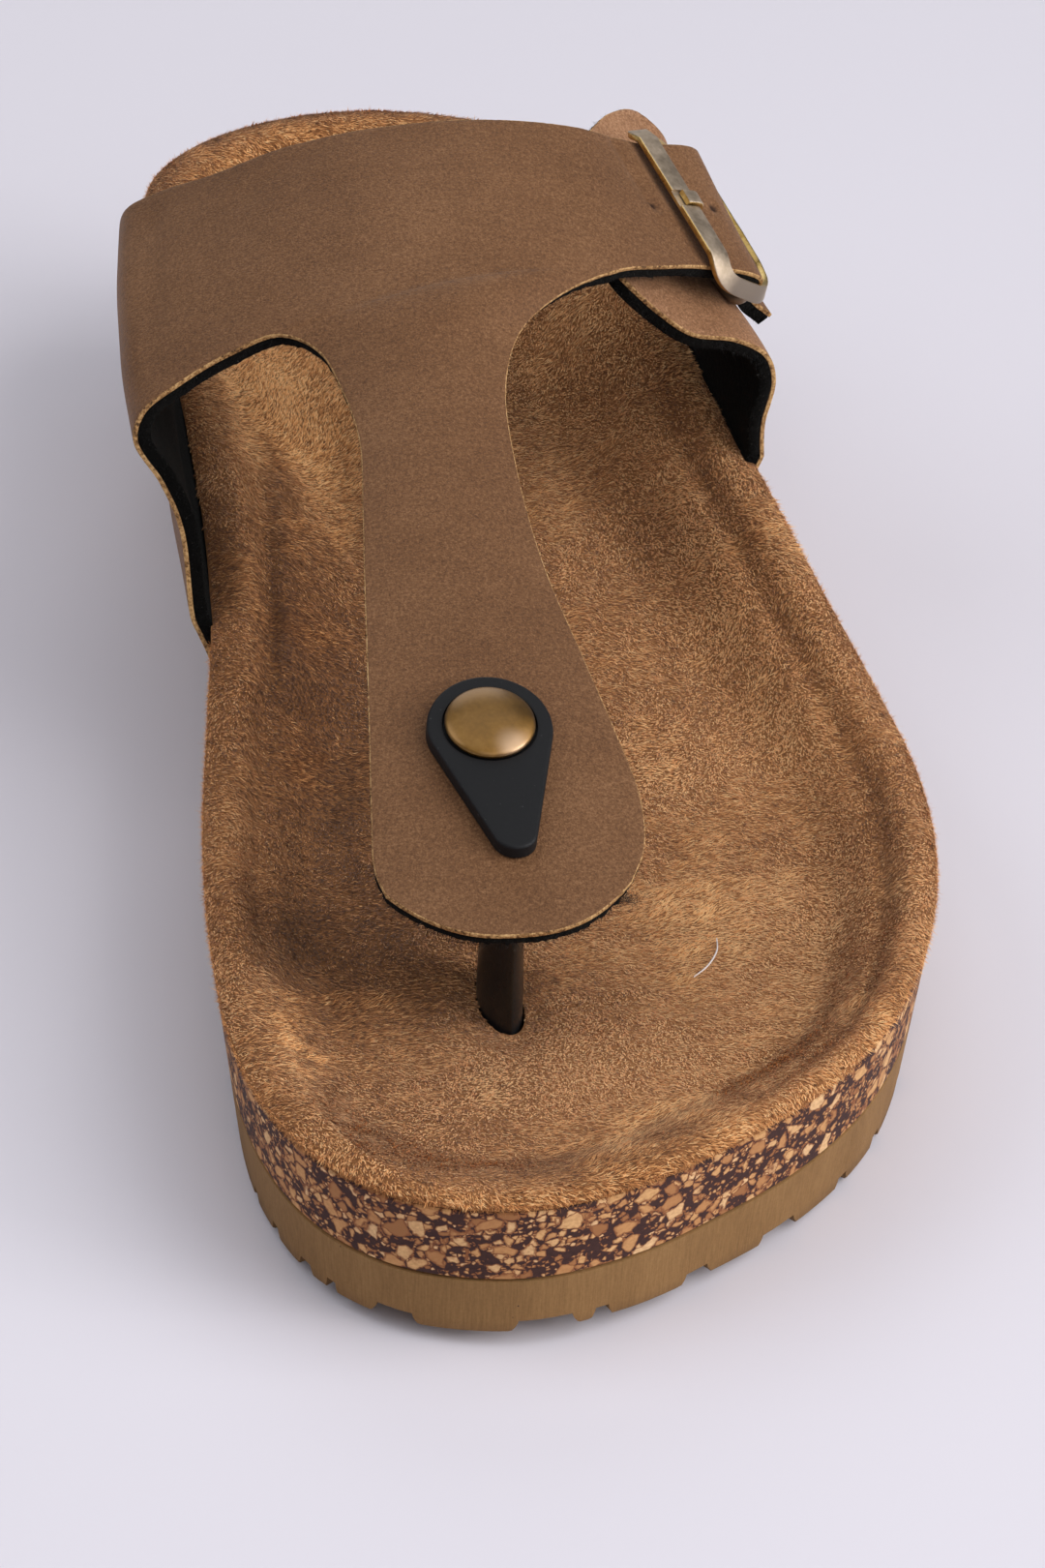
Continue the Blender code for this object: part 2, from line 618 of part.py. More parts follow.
def outer_grid(per=PER, across=ACROSS, t0=0.0, t1=1.0):
    f = spline(columns(OUTER, OUTER_COLUMNS, "fx", "fy", "fz"), per)
    r = spline(columns(OUTER, OUTER_COLUMNS, "rx", "ry", "rz"), per)
    lift = zip(*(ramp(OUTER, OUTER_COLUMNS, c, per) for c in ("bow", "hug", "out")))
    ts = np.linspace(t0, t1, across + 1)
    return np.array([[strap_point(a, b, *row, t, 1) for t in ts] for a, b, row in zip(f, r, lift)])


outer = sheet("outer_strap", [outer_grid()], True, WALL, -1.0, LEATHER, cutter=True)


def grid_frame(grid, u, t, per=PER):
    """Point, along, across and outward directions of a strap grid at section u."""
    i = u * per
    j = t * (grid.shape[1] - 1)

    def at(i, j):
        i = min(max(i, 0), grid.shape[0] - 1.0001)
        j = min(max(j, 0), grid.shape[1] - 1.0001)
        a, b = int(i), int(j)
        x, y = i - a, j - b
        return ((grid[a, b] * (1 - x) + grid[a + 1, b] * x) * (1 - y)
                + (grid[a, b + 1] * (1 - x) + grid[a + 1, b + 1] * x) * y)

    p = at(i, j)
    along = unit(at(i + 0.5, j) - at(i - 0.5, j))
    across = unit(at(i, j + 0.4) - at(i, j - 0.4))
    return p, along, across, unit(np.cross(along, across))


def bond():
    """Small pad between the band and the strap under it, where they are joined."""
    name, u0, u1, t0, t1 = BOND_AT
    at = row_of(BAND, name)
    bm = bmesh.new()
    rings = []
    for depth in (1.2, 5.4):
        ring = []
        for u, t in ((u0, t0), (u1, t0), (u1, t1), (u0, t1)):
            p, _, _, out = grid_frame(band, at + u, t)
            ring.append(p - out * depth)
        rings.append(ring)
    prism(bm, *rings)
    return finish(bm, "bond_pad", None, cutter=True)


# ------------------------------------------------------------------ buckle
U_IN, U_OUT = row_of(BAND, "inner_bar"), row_of(BAND, "outer_bar")
P_IN, P_OUT = (grid_frame(band, u, 0.5)[0] for u in (U_IN, U_OUT))
E_L = unit(BAND_F[U_IN] - BAND_R[U_IN] + BAND_F[U_OUT] - BAND_R[U_OUT])   # along the bars, to the toe
LIFT = unit(np.cross(E_L, P_OUT - P_IN))
BAR_IN, BAR_OUT = P_IN + LIFT * BAR_LIFT, P_OUT + LIFT * FAR_LIFT
E_W = BAR_OUT - BAR_IN
E_W = unit(E_W - E_L * E_W.dot(E_L))                       # across the buckle, outwards
E_N = np.cross(E_L, E_W)                                   # off the strap
FRAME_O = (BAR_IN + BAR_OUT) / 2
HALF_W = (BAR_OUT - BAR_IN).dot(E_W) / 2


def on_frame(l, w, h):
    return FRAME_O + E_L * l + E_W * w + E_N * h


def frame_path():
    """Middle line of the frame, and how far each point is on to a short end."""
    path = []
    for sl, sw in ((1, 1), (1, -1), (-1, -1), (-1, 1)):
        r = CORNER_OUT if sw > 0 and sl > 0 else CORNER
        turn = [k / 5 * math.pi / 2 for k in range(6)]
        if sl * sw < 0:
            turn = turn[::-1]
        for a in turn:
            w = sw * (HALF_W - r + r * math.cos(a))
            end = FRAME_REAR if sl < 0 else FRAME_FRONT - FRAME_SKEW * (w + HALF_W) / (2 * HALF_W)
            back = r * (1 - math.sin(a))
            path.append((sl * (end - back), w, float(smooth01(1 - back / DIP_SPAN))))
    return path


def swept(path, section, closed, name, mat, cutter=False):
    """Solid swept along points, each with its own side and up directions."""
    bm = bmesh.new()
    loops = []
    for p, side, up in path:
        loops.append([bm.verts.new(to_world(p + side * a + up * b)) for a, b in section])
    n, m = len(loops), len(section)
    for k in range(n if closed else n - 1):
        a, b = loops[k], loops[(k + 1) % n]
        for i in range(m):
            j = (i + 1) % m
            bm.faces.new((a[i], a[j], b[j], b[i]))
    if not closed:
        bm.faces.new(list(reversed(loops[0])))
        bm.faces.new(loops[-1])
    bmesh.ops.recalc_face_normals(bm, faces=bm.faces)
    return finish(bm, name, mat, cutter=cutter)


def strip_section(wide, thick, corner=0.3):
    a, b = wide / 2, thick / 2
    return [(a, -b + corner), (a, b - corner), (a - corner, b), (-a + corner, b),
            (-a, b - corner), (-a, -b + corner), (-a + corner, -b), (a - corner, -b)]


def buckle_frame():
    flat = frame_path()
    pts = [on_frame(l, w, -(DIP_FRONT if l > 0 else DIP_REAR) * k) for l, w, k in flat]
    path = []
    n = len(pts)
    for i, (_, w, k) in enumerate(flat):
        along = unit(pts[(i + 1) % n] - pts[i - 1])
        side = unit(np.cross(along, E_N))
        if side.dot(pts[i] - FRAME_O) < 0:
            side = -side
        up = unit(E_N - along * E_N.dot(along))
        a = (BAR_TILT if w < 0 else FAR_TILT) * (1 - k) + END_TILT * k
        narrow = 1 + (END_WIDE / BAR_WIDE - 1) * k
        path.append((pts[i], (side * math.cos(a) - up * math.sin(a)) * narrow, up * math.cos(a) + side * math.sin(a)))
    frame = swept(path, strip_section(BAR_WIDE, BAR_THICK), True, "buckle_frame", BRASS)
    ring = [(CENTRE_BAR_R * math.cos(2 * math.pi * k / 8), CENTRE_BAR_R * math.sin(2 * math.pi * k / 8))
            for k in range(8)]
    front = FRAME_FRONT - FRAME_SKEW / 2
    legs = [(-FRAME_REAR, -DIP_REAR), (-FRAME_REAR + 0.1, -CENTRE_DROP + 0.8), (-FRAME_REAR + 0.8, -CENTRE_DROP),
            (front - 0.8, -CENTRE_DROP), (front - 0.1, -CENTRE_DROP + 0.8), (front, -DIP_FRONT)]
    pts = [on_frame(l, 0.0, h) for l, h in legs]
    path = []
    for k, p in enumerate(pts):
        along = unit(pts[min(k + 1, len(pts) - 1)] - pts[max(k - 1, 0)])
        path.append((p, E_W, unit(np.cross(along, E_W))))
    boolean(frame, swept(path, ring, False, "centre_bar", BRASS, cutter=True), "UNION")
    bm = bmesh.new()
    half = PIN_WIDE / 2 + 0.3
    prism(bm, *[[on_bar(l, w, h) for l, w in ((-half, -4.0), (half, -4.0), (half, 4.0), (-half, 4.0))]
                for h in (NOTCH_FLOOR, 4.0)])
    boolean(frame, finish(bm, "pin_notch", None, cutter=True), "DIFFERENCE")
    return frame


def on_bar(l, w, h):
    """Place on the inner bar: along it from the pin, across and off its face."""
    c, s = math.cos(BAR_TILT), math.sin(BAR_TILT)
    return on_frame(PIN_L + l, -HALF_W + w * c - h * s, w * s + h * c)


def pin_path():
    """Pin: from beside the centre bar, up through the strap, into the bar's notch."""
    up = -HALF_W + PIN_IN
    low = -CENTRE_DROP - 0.6
    lie = NOTCH_FLOOR + 0.15 + PIN_THICK / 2
    under = [(-CENTRE_BAR_R - 0.35, low + 0.4), (up + 1.3, low), (up + 0.45, low + 0.25), (up, low + 1.1), (up, 0.2),
             (up - 0.2, 0.8)]
    return [on_frame(PIN_L, w, h) for w, h in under] + [on_bar(0.0, w, lie + h) for w, h in
                                                        ((2.05, 0.0), (0.9, 0.08), (-0.5, 0.0))]


def buckle_pin():
    pts = pin_path()
    path = []
    for k, p in enumerate(pts):
        along = unit(pts[min(k + 1, len(pts) - 1)] - pts[max(k - 1, 0)])
        path.append((p, E_L, unit(np.cross(along, E_L))))
    return swept(path, strip_section(PIN_WIDE, PIN_THICK, 0.2), False, "buckle_pin", BRASS)


def pin_hole():
    w = -HALF_W + PIN_IN
    bm = bmesh.new()
    rings = []
    for h in (-CENTRE_DROP - 2.2, 3.0):
        rings.append([on_frame(PIN_L + l, w + d, h) for l, d in
                      ((-PIN_WIDE / 2 - 0.4, -0.75), (PIN_WIDE / 2 + 0.4, -0.75),
                       (PIN_WIDE / 2 + 0.4, 0.95), (-PIN_WIDE / 2 - 0.4, 0.95))])
    prism(bm, *rings)
    return finish(bm, "pin_hole", None, cutter=True)


buckle_frame()
buckle_pin()


# ------------------------------------------------------------------ toe post
def tongue_top(x, y):
    """Height and slope of the tongue's outer face at a place near its middle."""
    mid = tongue[:, tongue.shape[1] // 2]
    order = np.argsort(mid[:, 1])
    z = np.interp(y, mid[order, 1], mid[order, 2])
    slope = (np.interp(y + 2, mid[order, 1], mid[order, 2]) - np.interp(y - 2, mid[order, 1], mid[order, 2])) / 4
    cx = np.interp(y, mid[order, 1], mid[order, 0])
    return z - 1.6 * ((x - cx) / 16.0) ** 2, slope


PLATE_Z, PLATE_SLOPE = tongue_top(*PLATE_CENTRE)
DOWN = unit((0.0, -1.0, -PLATE_SLOPE))     # along the tongue to the toe
OUT = unit((0.0, -PLATE_SLOPE, 1.0))       # off the tongue


def teardrop(scale, n=20):
    """Outline of the plate: round end, straight flanks, small round tip."""
    r0, r1 = PLATE_R - scale, PLATE_TIP_R - scale
    lean = math.asin((r0 - r1) / PLATE_TIP)
    out = []
    for k in range(n):
        a = -lean + (math.pi + 2 * lean) * k / (n - 1)
        out.append((r0 * math.cos(a), -r0 * math.sin(a)))
    for k in range(8):
        a = math.pi + lean + (math.pi - 2 * lean) * k / 7
        out.append((r1 * math.cos(a), PLATE_TIP - r1 * math.sin(a)))
    return out


def on_plate(a, b, h):
    base = np.array([PLATE_CENTRE[0] + a, PLATE_CENTRE[1], 0.0]) + DOWN * b
    y = base[1]
    z, _ = tongue_top(base[0], y)
    return np.array([base[0], y, z]) + OUT * h


def toe_post():
    rows = [(0.0, GAP), (0.0, PLATE_THICK - 0.5), (0.5, PLATE_THICK)]
    bm = bmesh.new()
    loops = [[bm.verts.new(to_world(on_plate(a, b, GAP + 0.05 + h - GAP)))
              for a, b in teardrop(s)] for s, h in rows]
    n = len(loops[0])
    for la, lb in zip(loops[:-1], loops[1:]):
        for i in range(n):
            j = (i + 1) % n
            bm.faces.new((la[i], la[j], lb[j], lb[i]))
    bm.faces.new(list(reversed(loops[0])))
    bm.faces.new(loops[-1])
    bmesh.ops.triangulate(bm, faces=[f for f in bm.faces if len(f.verts) > 4])
    bmesh.ops.recalc_face_normals(bm, faces=bm.faces)
    plate = finish(bm, "toe_post", RUBBER)
    boolean(plate, post_stem("post_stem", 0.0), "UNION")
    return plate


def post_stem(name, grow, rows=POST, n=16):
    bm = bmesh.new()
    c, s = math.cos(POST_TURN), math.sin(POST_TURN)
    loops = []
    for z, wide, long, tilt in rows:
        ring = []
        for k in range(n):
            a = 2 * math.pi * k / n
            x, y = (wide + grow) * math.cos(a), (long + grow) * math.sin(a)
            q = (c * x - s * y, s * x + c * y)
            ring.append(bm.verts.new(to_world((POST_CENTRE[0] + q[0], POST_CENTRE[1] + q[1], z + tilt * q[1]))))
        loops.append(ring)
    for la, lb in zip(loops[:-1], loops[1:]):
        for i in range(n):
            j = (i + 1) % n
            bm.faces.new((la[i], la[j], lb[j], lb[i]))
    bm.faces.new(list(reversed(loops[0])))
    bm.faces.new(loops[-1])
    bmesh.ops.recalc_face_normals(bm, faces=bm.faces)
    return finish(bm, name, None, cutter=True)


toe_post()

# slit in the insole and pocket in the cork for the post
low = POST[0]
slit = post_stem("post_slit", 0.35, ((low[0] - 0.4, 2.6, 7.0, 0.0), (30.0, 2.6, 7.0, 0.0)))
boolean(insole, slit, "DIFFERENCE")
boolean(midsole, slit, "DIFFERENCE")
# slot in the tongue for the post's neck
neck = POST[-1]
slot = post_stem("neck_slot", 0.35, ((33.0, 1.7, 4.0, 0.3), (50.0, 1.7, 4.0, 0.3)))


def rivet_cap():
    base = on_plate(0.0, 0.0, PLATE_THICK + 2 * GAP)
    side = np.array([1.0, 0.0, 0.0])
    profile = [(RIVET_R - 0.35, 0.0), (RIVET_R, 0.35), (RIVET_R - 0.25, 0.75), (0.78 * RIVET_R, 1.2),
               (0.5 * RIVET_R, 1.47)]
    bm = bmesh.new()
    n = 24
    loops = []
    for r, h in profile:
        loops.append([bm.verts.new(to_world(base + OUT * h + r * (side * math.cos(2 * math.pi * k / n)
                                                                   + DOWN * math.sin(2 * math.pi * k / n))))
                      for k in range(n)])
    for la, lb in zip(loops[:-1], loops[1:]):
        for i in range(n):
            j = (i + 1) % n
            bm.faces.new((la[i], la[j], lb[j], lb[i]))
    bm.faces.new(list(reversed(loops[0])))
    crown = bm.verts.new(to_world(base + OUT * RIVET_HIGH))
    for i in range(n):
        bm.faces.new((loops[-1][i], loops[-1][(i + 1) % n], crown))
    bmesh.ops.recalc_face_normals(bm, faces=bm.faces)
    return finish(bm, "rivet_cap", BRASS)


rivet_cap()

# ------------------------------------------------------------------ joins and recesses
boolean(upper, pin_hole(), "DIFFERENCE")
boolean(upper, slot, "DIFFERENCE")
boolean(upper, bond(), "UNION")
boolean(upper, outer, "UNION")


def recess(name, grid_of, rows, flip):
    """Room for a strap's lower end in the sole's side: the strap's own form, a
    little larger, run on below its end."""
    grid = grid_of(PER, ACROSS, -0.008, 1.008)[:rows * PER + 1]
    below = grid[0] + (grid[0] - grid[1]) * 1.6
    return sheet(name, [np.concatenate([below[None], grid])], flip, WALL + 2.0 + GAP, 0.0, None, cutter=True)


def push_out(ob, side, amount):
    for v in ob.data.vertices:
        v.co.x += side * amount * MM


# the recess walls straddle the strap: GAP inside it and 2 mm outside it
inner_recess = recess("inner_recess", band_grid, 4, False)
push_out(inner_recess, -1, (2.0 - WALL - GAP) / 2)
outer_recess = recess("outer_recess", outer_grid, 4, True)
push_out(outer_recess, 1, (2.0 - WALL - GAP) / 2)
for piece in (insole, midsole):
    boolean(piece, inner_recess, "DIFFERENCE")
    boolean(piece, outer_recess, "DIFFERENCE")
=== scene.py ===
import math

import bmesh
import bpy
import numpy as np
from mathutils import Matrix, Vector
from mathutils.kdtree import KDTree

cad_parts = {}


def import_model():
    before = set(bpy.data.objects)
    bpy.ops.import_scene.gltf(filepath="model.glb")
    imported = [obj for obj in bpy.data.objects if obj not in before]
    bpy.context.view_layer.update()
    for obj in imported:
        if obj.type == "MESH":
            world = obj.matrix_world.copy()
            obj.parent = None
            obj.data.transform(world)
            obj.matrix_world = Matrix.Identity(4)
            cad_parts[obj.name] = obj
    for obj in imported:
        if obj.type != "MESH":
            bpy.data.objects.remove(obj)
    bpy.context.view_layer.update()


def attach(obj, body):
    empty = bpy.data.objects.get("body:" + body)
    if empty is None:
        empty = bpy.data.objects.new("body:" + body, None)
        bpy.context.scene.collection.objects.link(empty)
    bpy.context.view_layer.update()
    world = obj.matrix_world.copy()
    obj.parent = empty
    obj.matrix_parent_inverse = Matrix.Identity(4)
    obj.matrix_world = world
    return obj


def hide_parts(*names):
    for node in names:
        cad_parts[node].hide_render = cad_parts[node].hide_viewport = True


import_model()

rng = np.random.default_rng(11)

# ------------------------------------------------------------------ sizes
MM = 0.001
GAP = 0.3                  # clearance between neighbouring pieces
SOLE_LENGTH = 250.0
Y_HEEL = 125.0             # y of station 0 (back of the heel)
SHIFT_X, SHIFT_Y = 3.876, -0.157   # puts the origin under the middle of the shoe

WALL = 2.4                 # strap: leather and felt together
INSOLE_THICK = 1.6
INSOLE_EDGE = 0.75         # thickness of its trimmed edge

# plan of the sole: distance from the heel, inner edge, outer edge
PLAN_COLUMNS = ("s", "medial", "lateral")
PLAN = (
    (3.0, -12.0, 12.2),
    (9.0, -22.5, 23.6),
    (19.0, -30.5, 30.6),
    (35.0, -34.5, 35.3),
    (55.0, -35.1, 37.4),
    (80.0, -33.7, 40.0),
    (105.0, -33.5, 44.1),
    (125.0, -34.8, 47.3),
    (145.0, -37.5, 50.3),
    (165.0, -40.4, 52.2),
    (180.0, -41.9, 51.2),
    (195.0, -42.7, 48.0),
    (210.0, -42.7, 42.0),
    (222.0, -41.2, 34.6),
    (232.0, -38.0, 24.9),
    (240.0, -33.0, 13.5),
    (246.5, -25.0, 1.5),
)
HEEL_TIP = (0.8, 0.0)      # s, x
TOE_TIP = (249.6, -12.0)

# side heights of the sole: ground line (below 0: flat on the floor), foam/cork
# joint, rim, bed in the middle, and the run over which the rim falls to the bed
SIDE_COLUMNS = ("s", "ground", "joint", "rim", "bed", "run")
SIDE = (
    (0.0, -0.3, 12.0, 38.6, 28.5, 17.0),
    (40.0, -0.3, 11.8, 38.6, 27.0, 19.0),
    (75.0, 0.9, 11.3, 35.4, 25.6, 20.0),
    (100.0, 1.3, 10.9, 30.9, 23.2, 19.0),
    (130.0, 0.9, 10.5, 26.0, 19.9, 17.0),
    (165.0, -0.4, 10.2, 22.4, 17.4, 13.5),
    (200.0, -0.4, 10.1, 21.4, 17.1, 11.5),
    (225.0, 0.7, 10.0, 20.9, 18.2, 10.5),
    (250.0, 2.2, 10.0, 20.5, 20.4, 11.5),
)
RING_DEPTHS = (0.0, 0.8, 2.6, 5.5, 9.0, 13.0, 18.0)   # rings in from the edge
RIM_CROWN = 1.3            # the crest stands this far above the rim line
EDGE_ROUND = 0.7           # how far the rim's outer corner is rounded down
CREST = 2.6                # the rim is highest this far in

# how far the side walls lean in from the rim down to the ground
TAPER_COLUMNS = ("s", "medial", "lateral")
TAPER = (
    (0.0, 4.0, 4.0),
    (30.0, 5.0, 4.0),
    (65.0, 5.5, 3.6),
    (85.0, 5.0, 3.2),
    (105.0, 3.0, 2.8),
    (125.0, 1.8, 2.4),
    (160.0, 2.8, 2.8),
    (195.0, 3.0, 2.8),
    (225.0, 2.5, 2.4),
    (250.0, 0.9, 0.9),
)

# lugs: notches round the lower edge, and chevron grooves across the bottom
NOTCH_PITCH = (15.5, 8.5)
# notches round the front: distance along the outline from the toe tip (outer
# side positive) and half width
FRONT_NOTCHES = (
    (-49.0, 1.5), (-40.5, 1.6), (-31.5, 2.0), (-26.0, 1.3), (-16.0, 3.4), (3.0, 4.4), (10.4, 1.6),
    (24.8, 2.8), (39.2, 4.0), (53.8, 1.8), (65.0, 2.0),
)
FRONT_RANGE = (-56.0, 72.0)
NOTCH_HALF = 2.4
NOTCH_DEPTH = 1.7
NOTCH_REACH = 7.0
GROOVE_PITCH = 14.0
GROOVE_HALF = 1.5
GROOVE_DEPTH = 2.0
CHEVRON = (11.0, 3.0)      # half wave and height of the zigzag

# T-strap, outer face: front edge and rear edge of each section from the inner
# (medial) sole edge over the instep to the loose end past the buckle.
# bow: outward bulge at mid width (below 0: pressed in); hug: 1 = follows the sole's side, with its
# outer face "out" beyond that side
BAND_COLUMNS = ("section", "fx", "fy", "fz", "rx", "ry", "rz", "bow", "hug", "out")
BAND = (
    ("end", -35.6, -2.0, 11.0, -34.9, 57.0, 12.1, 0.0, 1.0, -0.1),
    ("side", -35.7, -1.3, 20.5, -34.9, 56.6, 29.5, 0.0, 1.0, -0.1),
    ("edge", -36.9, -0.6, 25.4, -35.6, 56.2, 35.0, 0.5, 0.45, 1.0),
    ("rim", -37.8, 0.0, 28.2, -36.8, 55.8, 38.0, 1.0, 0.25, 2.0),
    ("kink", -38.7, 3.6, 40.0, -37.4, 54.4, 46.0, 1.4, 0.0, 2.0),
    ("flare", -40.9, 5.3, 45.5, -39.2, 53.3, 52.0, 1.4, 0.0, 0.0),
    ("bulge", -44.3, 6.9, 51.3, -41.3, 52.2, 57.8, 1.2, 0.0, 0.0),
    ("turn", -43.1, 7.6, 55.3, -40.8, 51.1, 62.2, 1.2, 0.0, 0.0),
    ("shoulder", -38.2, 9.1, 58.4, -36.8, 49.4, 65.6, 0.9, 0.0, 0.0),
    ("ramp", -31.9, 10.4, 61.6, -29.4, 46.9, 69.3, 0.6, 0.0, 0.0),
    ("inner_throat", -25.3, 10.8, 64.0, -20.0, 45.2, 73.8, 0.4, 0.0, 0.0),
    ("inner_top", -13.2, 11.6, 67.8, -10.0, 44.1, 76.4, 0.3, 0.0, 0.0),
    ("top", -1.6, 13.9, 69.3, 0.0, 43.7, 77.5, 0.3, 0.0, 0.0),
    ("outer_top", 10.4, 17.0, 68.8, 11.0, 44.2, 76.9, 0.3, 0.0, 0.0),
    ("outer_throat", 21.8, 20.7, 66.0, 19.5, 45.6, 74.8, 0.3, 0.0, 0.0),
    ("fall", 28.6, 25.6, 63.6, 25.0, 48.2, 71.8, 0.2, 0.0, 0.0),
    ("inner_bar", 36.0, 31.2, 60.3, 29.0, 50.6, 69.5, 0.0, 0.0, 0.0),
    ("hump", 44.4, 36.1, 55.5, 38.6, 56.0, 65.2, 0.0, 0.0, 0.0),
    ("outer_bar", 44.7, 41.4, 49.5, 38.0, 58.9, 58.0, 0.0, 0.0, 0.0),
    ("tip", 47.5, 42.2, 46.6, 41.6, 57.2, 53.0, 0.0, 0.0, 0.0),
)
THROAT = ("inner_throat", "outer_throat")   # the tongue starts between these

# tongue of the T: inner and outer edge of each section down to the toe end,
# crown: rise of the middle, nose: how far the middle runs ahead of the edges
TONGUE_COLUMNS = ("lx", "ly", "lz", "rx", "ry", "rz", "crown", "nose")
TONGUE = (
    (-20.7, 6.7, 64.0, 13.0, 14.0, 66.4, 3.2, 0.0),
    (-18.2, -2.6, 62.2, 6.6, 7.3, 64.9, 2.4, 0.0),
    (-17.3, -11.4, 60.1, 3.0, -3.0, 62.5, 1.8, 0.0),
    (-18.4, -23.0, 56.9, 2.3, -19.5, 57.9, 1.5, 0.0),
    (-19.7, -34.7, 53.2, 3.5, -34.5, 53.2, 1.4, 0.0),
    (-21.0, -47.5, 49.2, 5.9, -47.5, 49.1, 1.5, 0.0),
    (-22.3, -59.5, 45.4, 8.2, -60.0, 45.3, 1.6, 0.0),
    (-23.5, -70.5, 41.7, 9.8, -70.5, 41.8, 1.6, 0.8),
    (-24.2, -79.0, 39.1, 9.1, -78.0, 39.4, 1.5, 3.4),
    (-23.4, -83.2, 38.1, 6.8, -83.2, 38.1, 1.3, 8.4),
)

# outer buckle strap, outer face, from the sole's side up to its end under the band
OUTER_COLUMNS = BAND_COLUMNS
OUTER = (
    ("end", 44.0, 27.0, 11.4, 38.0, 69.0, 12.2, 0.0, 1.0, -0.1),
    ("side", 44.0, 27.1, 24.0, 38.0, 69.0, 31.5, 0.0, 1.0, -0.1),
    ("edge", 43.9, 27.2, 30.0, 38.2, 68.9, 36.8, 0.0, 1.0, 0.3),
    ("rim", 43.9, 27.3, 32.8, 38.8, 68.8, 39.8, 0.0, 0.9, 1.5),
    ("wall", 44.2, 27.3, 38.0, 39.2, 68.4, 46.6, -0.6, 0.0, 1.5),
    ("bulge", 45.4, 27.7, 44.2, 38.8, 67.6, 52.4, -1.6, 0.0, 0.0),
    ("turn", 44.0, 27.3, 48.5, 37.4, 66.8, 57.4, -2.4, 0.0, 0.0),
    ("over", 39.3, 26.1, 51.8, 36.0, 66.8, 62.2, -2.4, 0.0, 0.0),
    ("shelf", 33.0, 24.8, 53.7, 32.0, 67.2, 66.0, -0.8, 0.0, 0.0),
    ("rise", 28.6, 25.2, 56.8, 27.6, 63.0, 68.0, 0.0, 0.0, 0.0),
    ("under", 23.6, 26.0, 61.6, 22.4, 54.0, 68.9, 0.0, 0.0, 0.0),
    ("lip", 20.2, 30.0, 64.2, 19.4, 46.0, 69.4, 0.0, 0.0, 0.0),
)
BOND_AT = ("outer_throat", 0.0, 0.6, 0.42, 0.76)   # where the straps are joined: section, u0, u1, t0, t1

# buckle
BAR_LIFT, FAR_LIFT = 1.6, 2.2           # middle of the inner and outer bar above the strap
BAR_WIDE, BAR_THICK = 3.5, 1.3
END_WIDE = 2.6             # width of the short ends
BAR_TILT, FAR_TILT = math.radians(20), math.radians(36)   # inner and outer bar lean, outer edge down
END_TILT = math.radians(60)             # and so do the short ends
FRAME_REAR, FRAME_FRONT = 13.2, 14.0    # middle of the short ends along the bars
FRAME_SKEW = 1.2           # the front end is this much further back on the outer side
DIP_REAR, DIP_FRONT = 1.2, 1.2          # the short ends dip this far
DIP_SPAN = 2.6             # the dip starts this far before an end
CORNER, CORNER_OUT = 3.0, 5.0           # corner radii; the larger is at the outer bar's front
CENTRE_DROP = 2.9          # centre bar under the strap, below the bars
CENTRE_BAR_R = 0.85
PIN_WIDE, PIN_THICK = 2.3, 0.8
PIN_IN = 2.75              # where the pin comes up, from the inner bar
PIN_L = 0.9                # and where along the bar
NOTCH_FLOOR = 0.1          # the pin's notch in the inner bar, above its middle

# toe post moulding and rivet
PLATE_CENTRE = (-7.8, -61.6)     # middle of the round end, over the tongue
PLATE_R, PLATE_TIP_R, PLATE_TIP = 7.75, 2.4, 17.0
PLATE_THICK = 2.3
POST_CENTRE = (-7.8, -76.2)
POST_TURN = math.radians(3.5)    # the post's long axis turns outwards at the toe
POST_COLUMNS = ("z", "half_wide", "half_long", "tilt")
POST = (
    (11.0, 2.3, 6.6, 0.0),
    (17.0, 2.6, 7.0, 0.0),
    (26.0, 2.45, 6.9, 0.0),
    (36.4, 2.4, 6.5, 0.2),
    (38.5, 2.3, 6.2, 0.3),
    (38.55, 1.7, 4.0, 0.3),
    (43.4, 1.7, 3.6, 0.3),
)
RIVET_R, RIVET_HIGH = 5.6, 1.6

LEATHER_THICK = 0.62       # leather on the face of a strap, the rest is felt


# ------------------------------------------------------------------ curves and sole form
def spline(points, per, closed=False, before=None, after=None):
    """Points on a smooth curve through the given ones, per steps a segment."""
    pts = np.asarray(points, float)
    if closed:
        ext = np.vstack([pts[-1], pts, pts[:2]])
    else:
        first = 2 * pts[0] - pts[1] if before is None else np.asarray(before, float)
        last = 2 * pts[-1] - pts[-2] if after is None else np.asarray(after, float)
        ext = np.vstack([first, pts, last])
    out = []
    count = len(ext) - 3
    for k in range(count):
        p = ext[k:k + 4]
        t = np.zeros(4)
        for j in range(1, 4):
            t[j] = t[j - 1] + max(np.linalg.norm(p[j] - p[j - 1]), 1e-6) ** 0.5
        steps = np.linspace(t[1], t[2], per + 1)
        if closed or k < count - 1:
            steps = steps[:-1]
        for s in steps:
            a = [p[j] * (t[j + 1] - s) / (t[j + 1] - t[j])
                 + p[j + 1] * (s - t[j]) / (t[j + 1] - t[j]) for j in range(3)]
            b = [a[j] * (t[j + 2] - s) / (t[j + 2] - t[j])
                 + a[j + 1] * (s - t[j]) / (t[j + 2] - t[j]) for j in range(2)]
            out.append(b[0] * (t[2] - s) / (t[2] - t[1]) + b[1] * (s - t[1]) / (t[2] - t[1]))
    return np.array(out)


def unit(v):
    v = np.asarray(v, float)
    return v / np.linalg.norm(v)


def units(v):
    return v / np.maximum(np.linalg.norm(v, axis=-1, keepdims=True), 1e-12)


def smooth01(x):
    x = np.clip(x, 0.0, 1.0)
    return x * x * (3 - 2 * x)


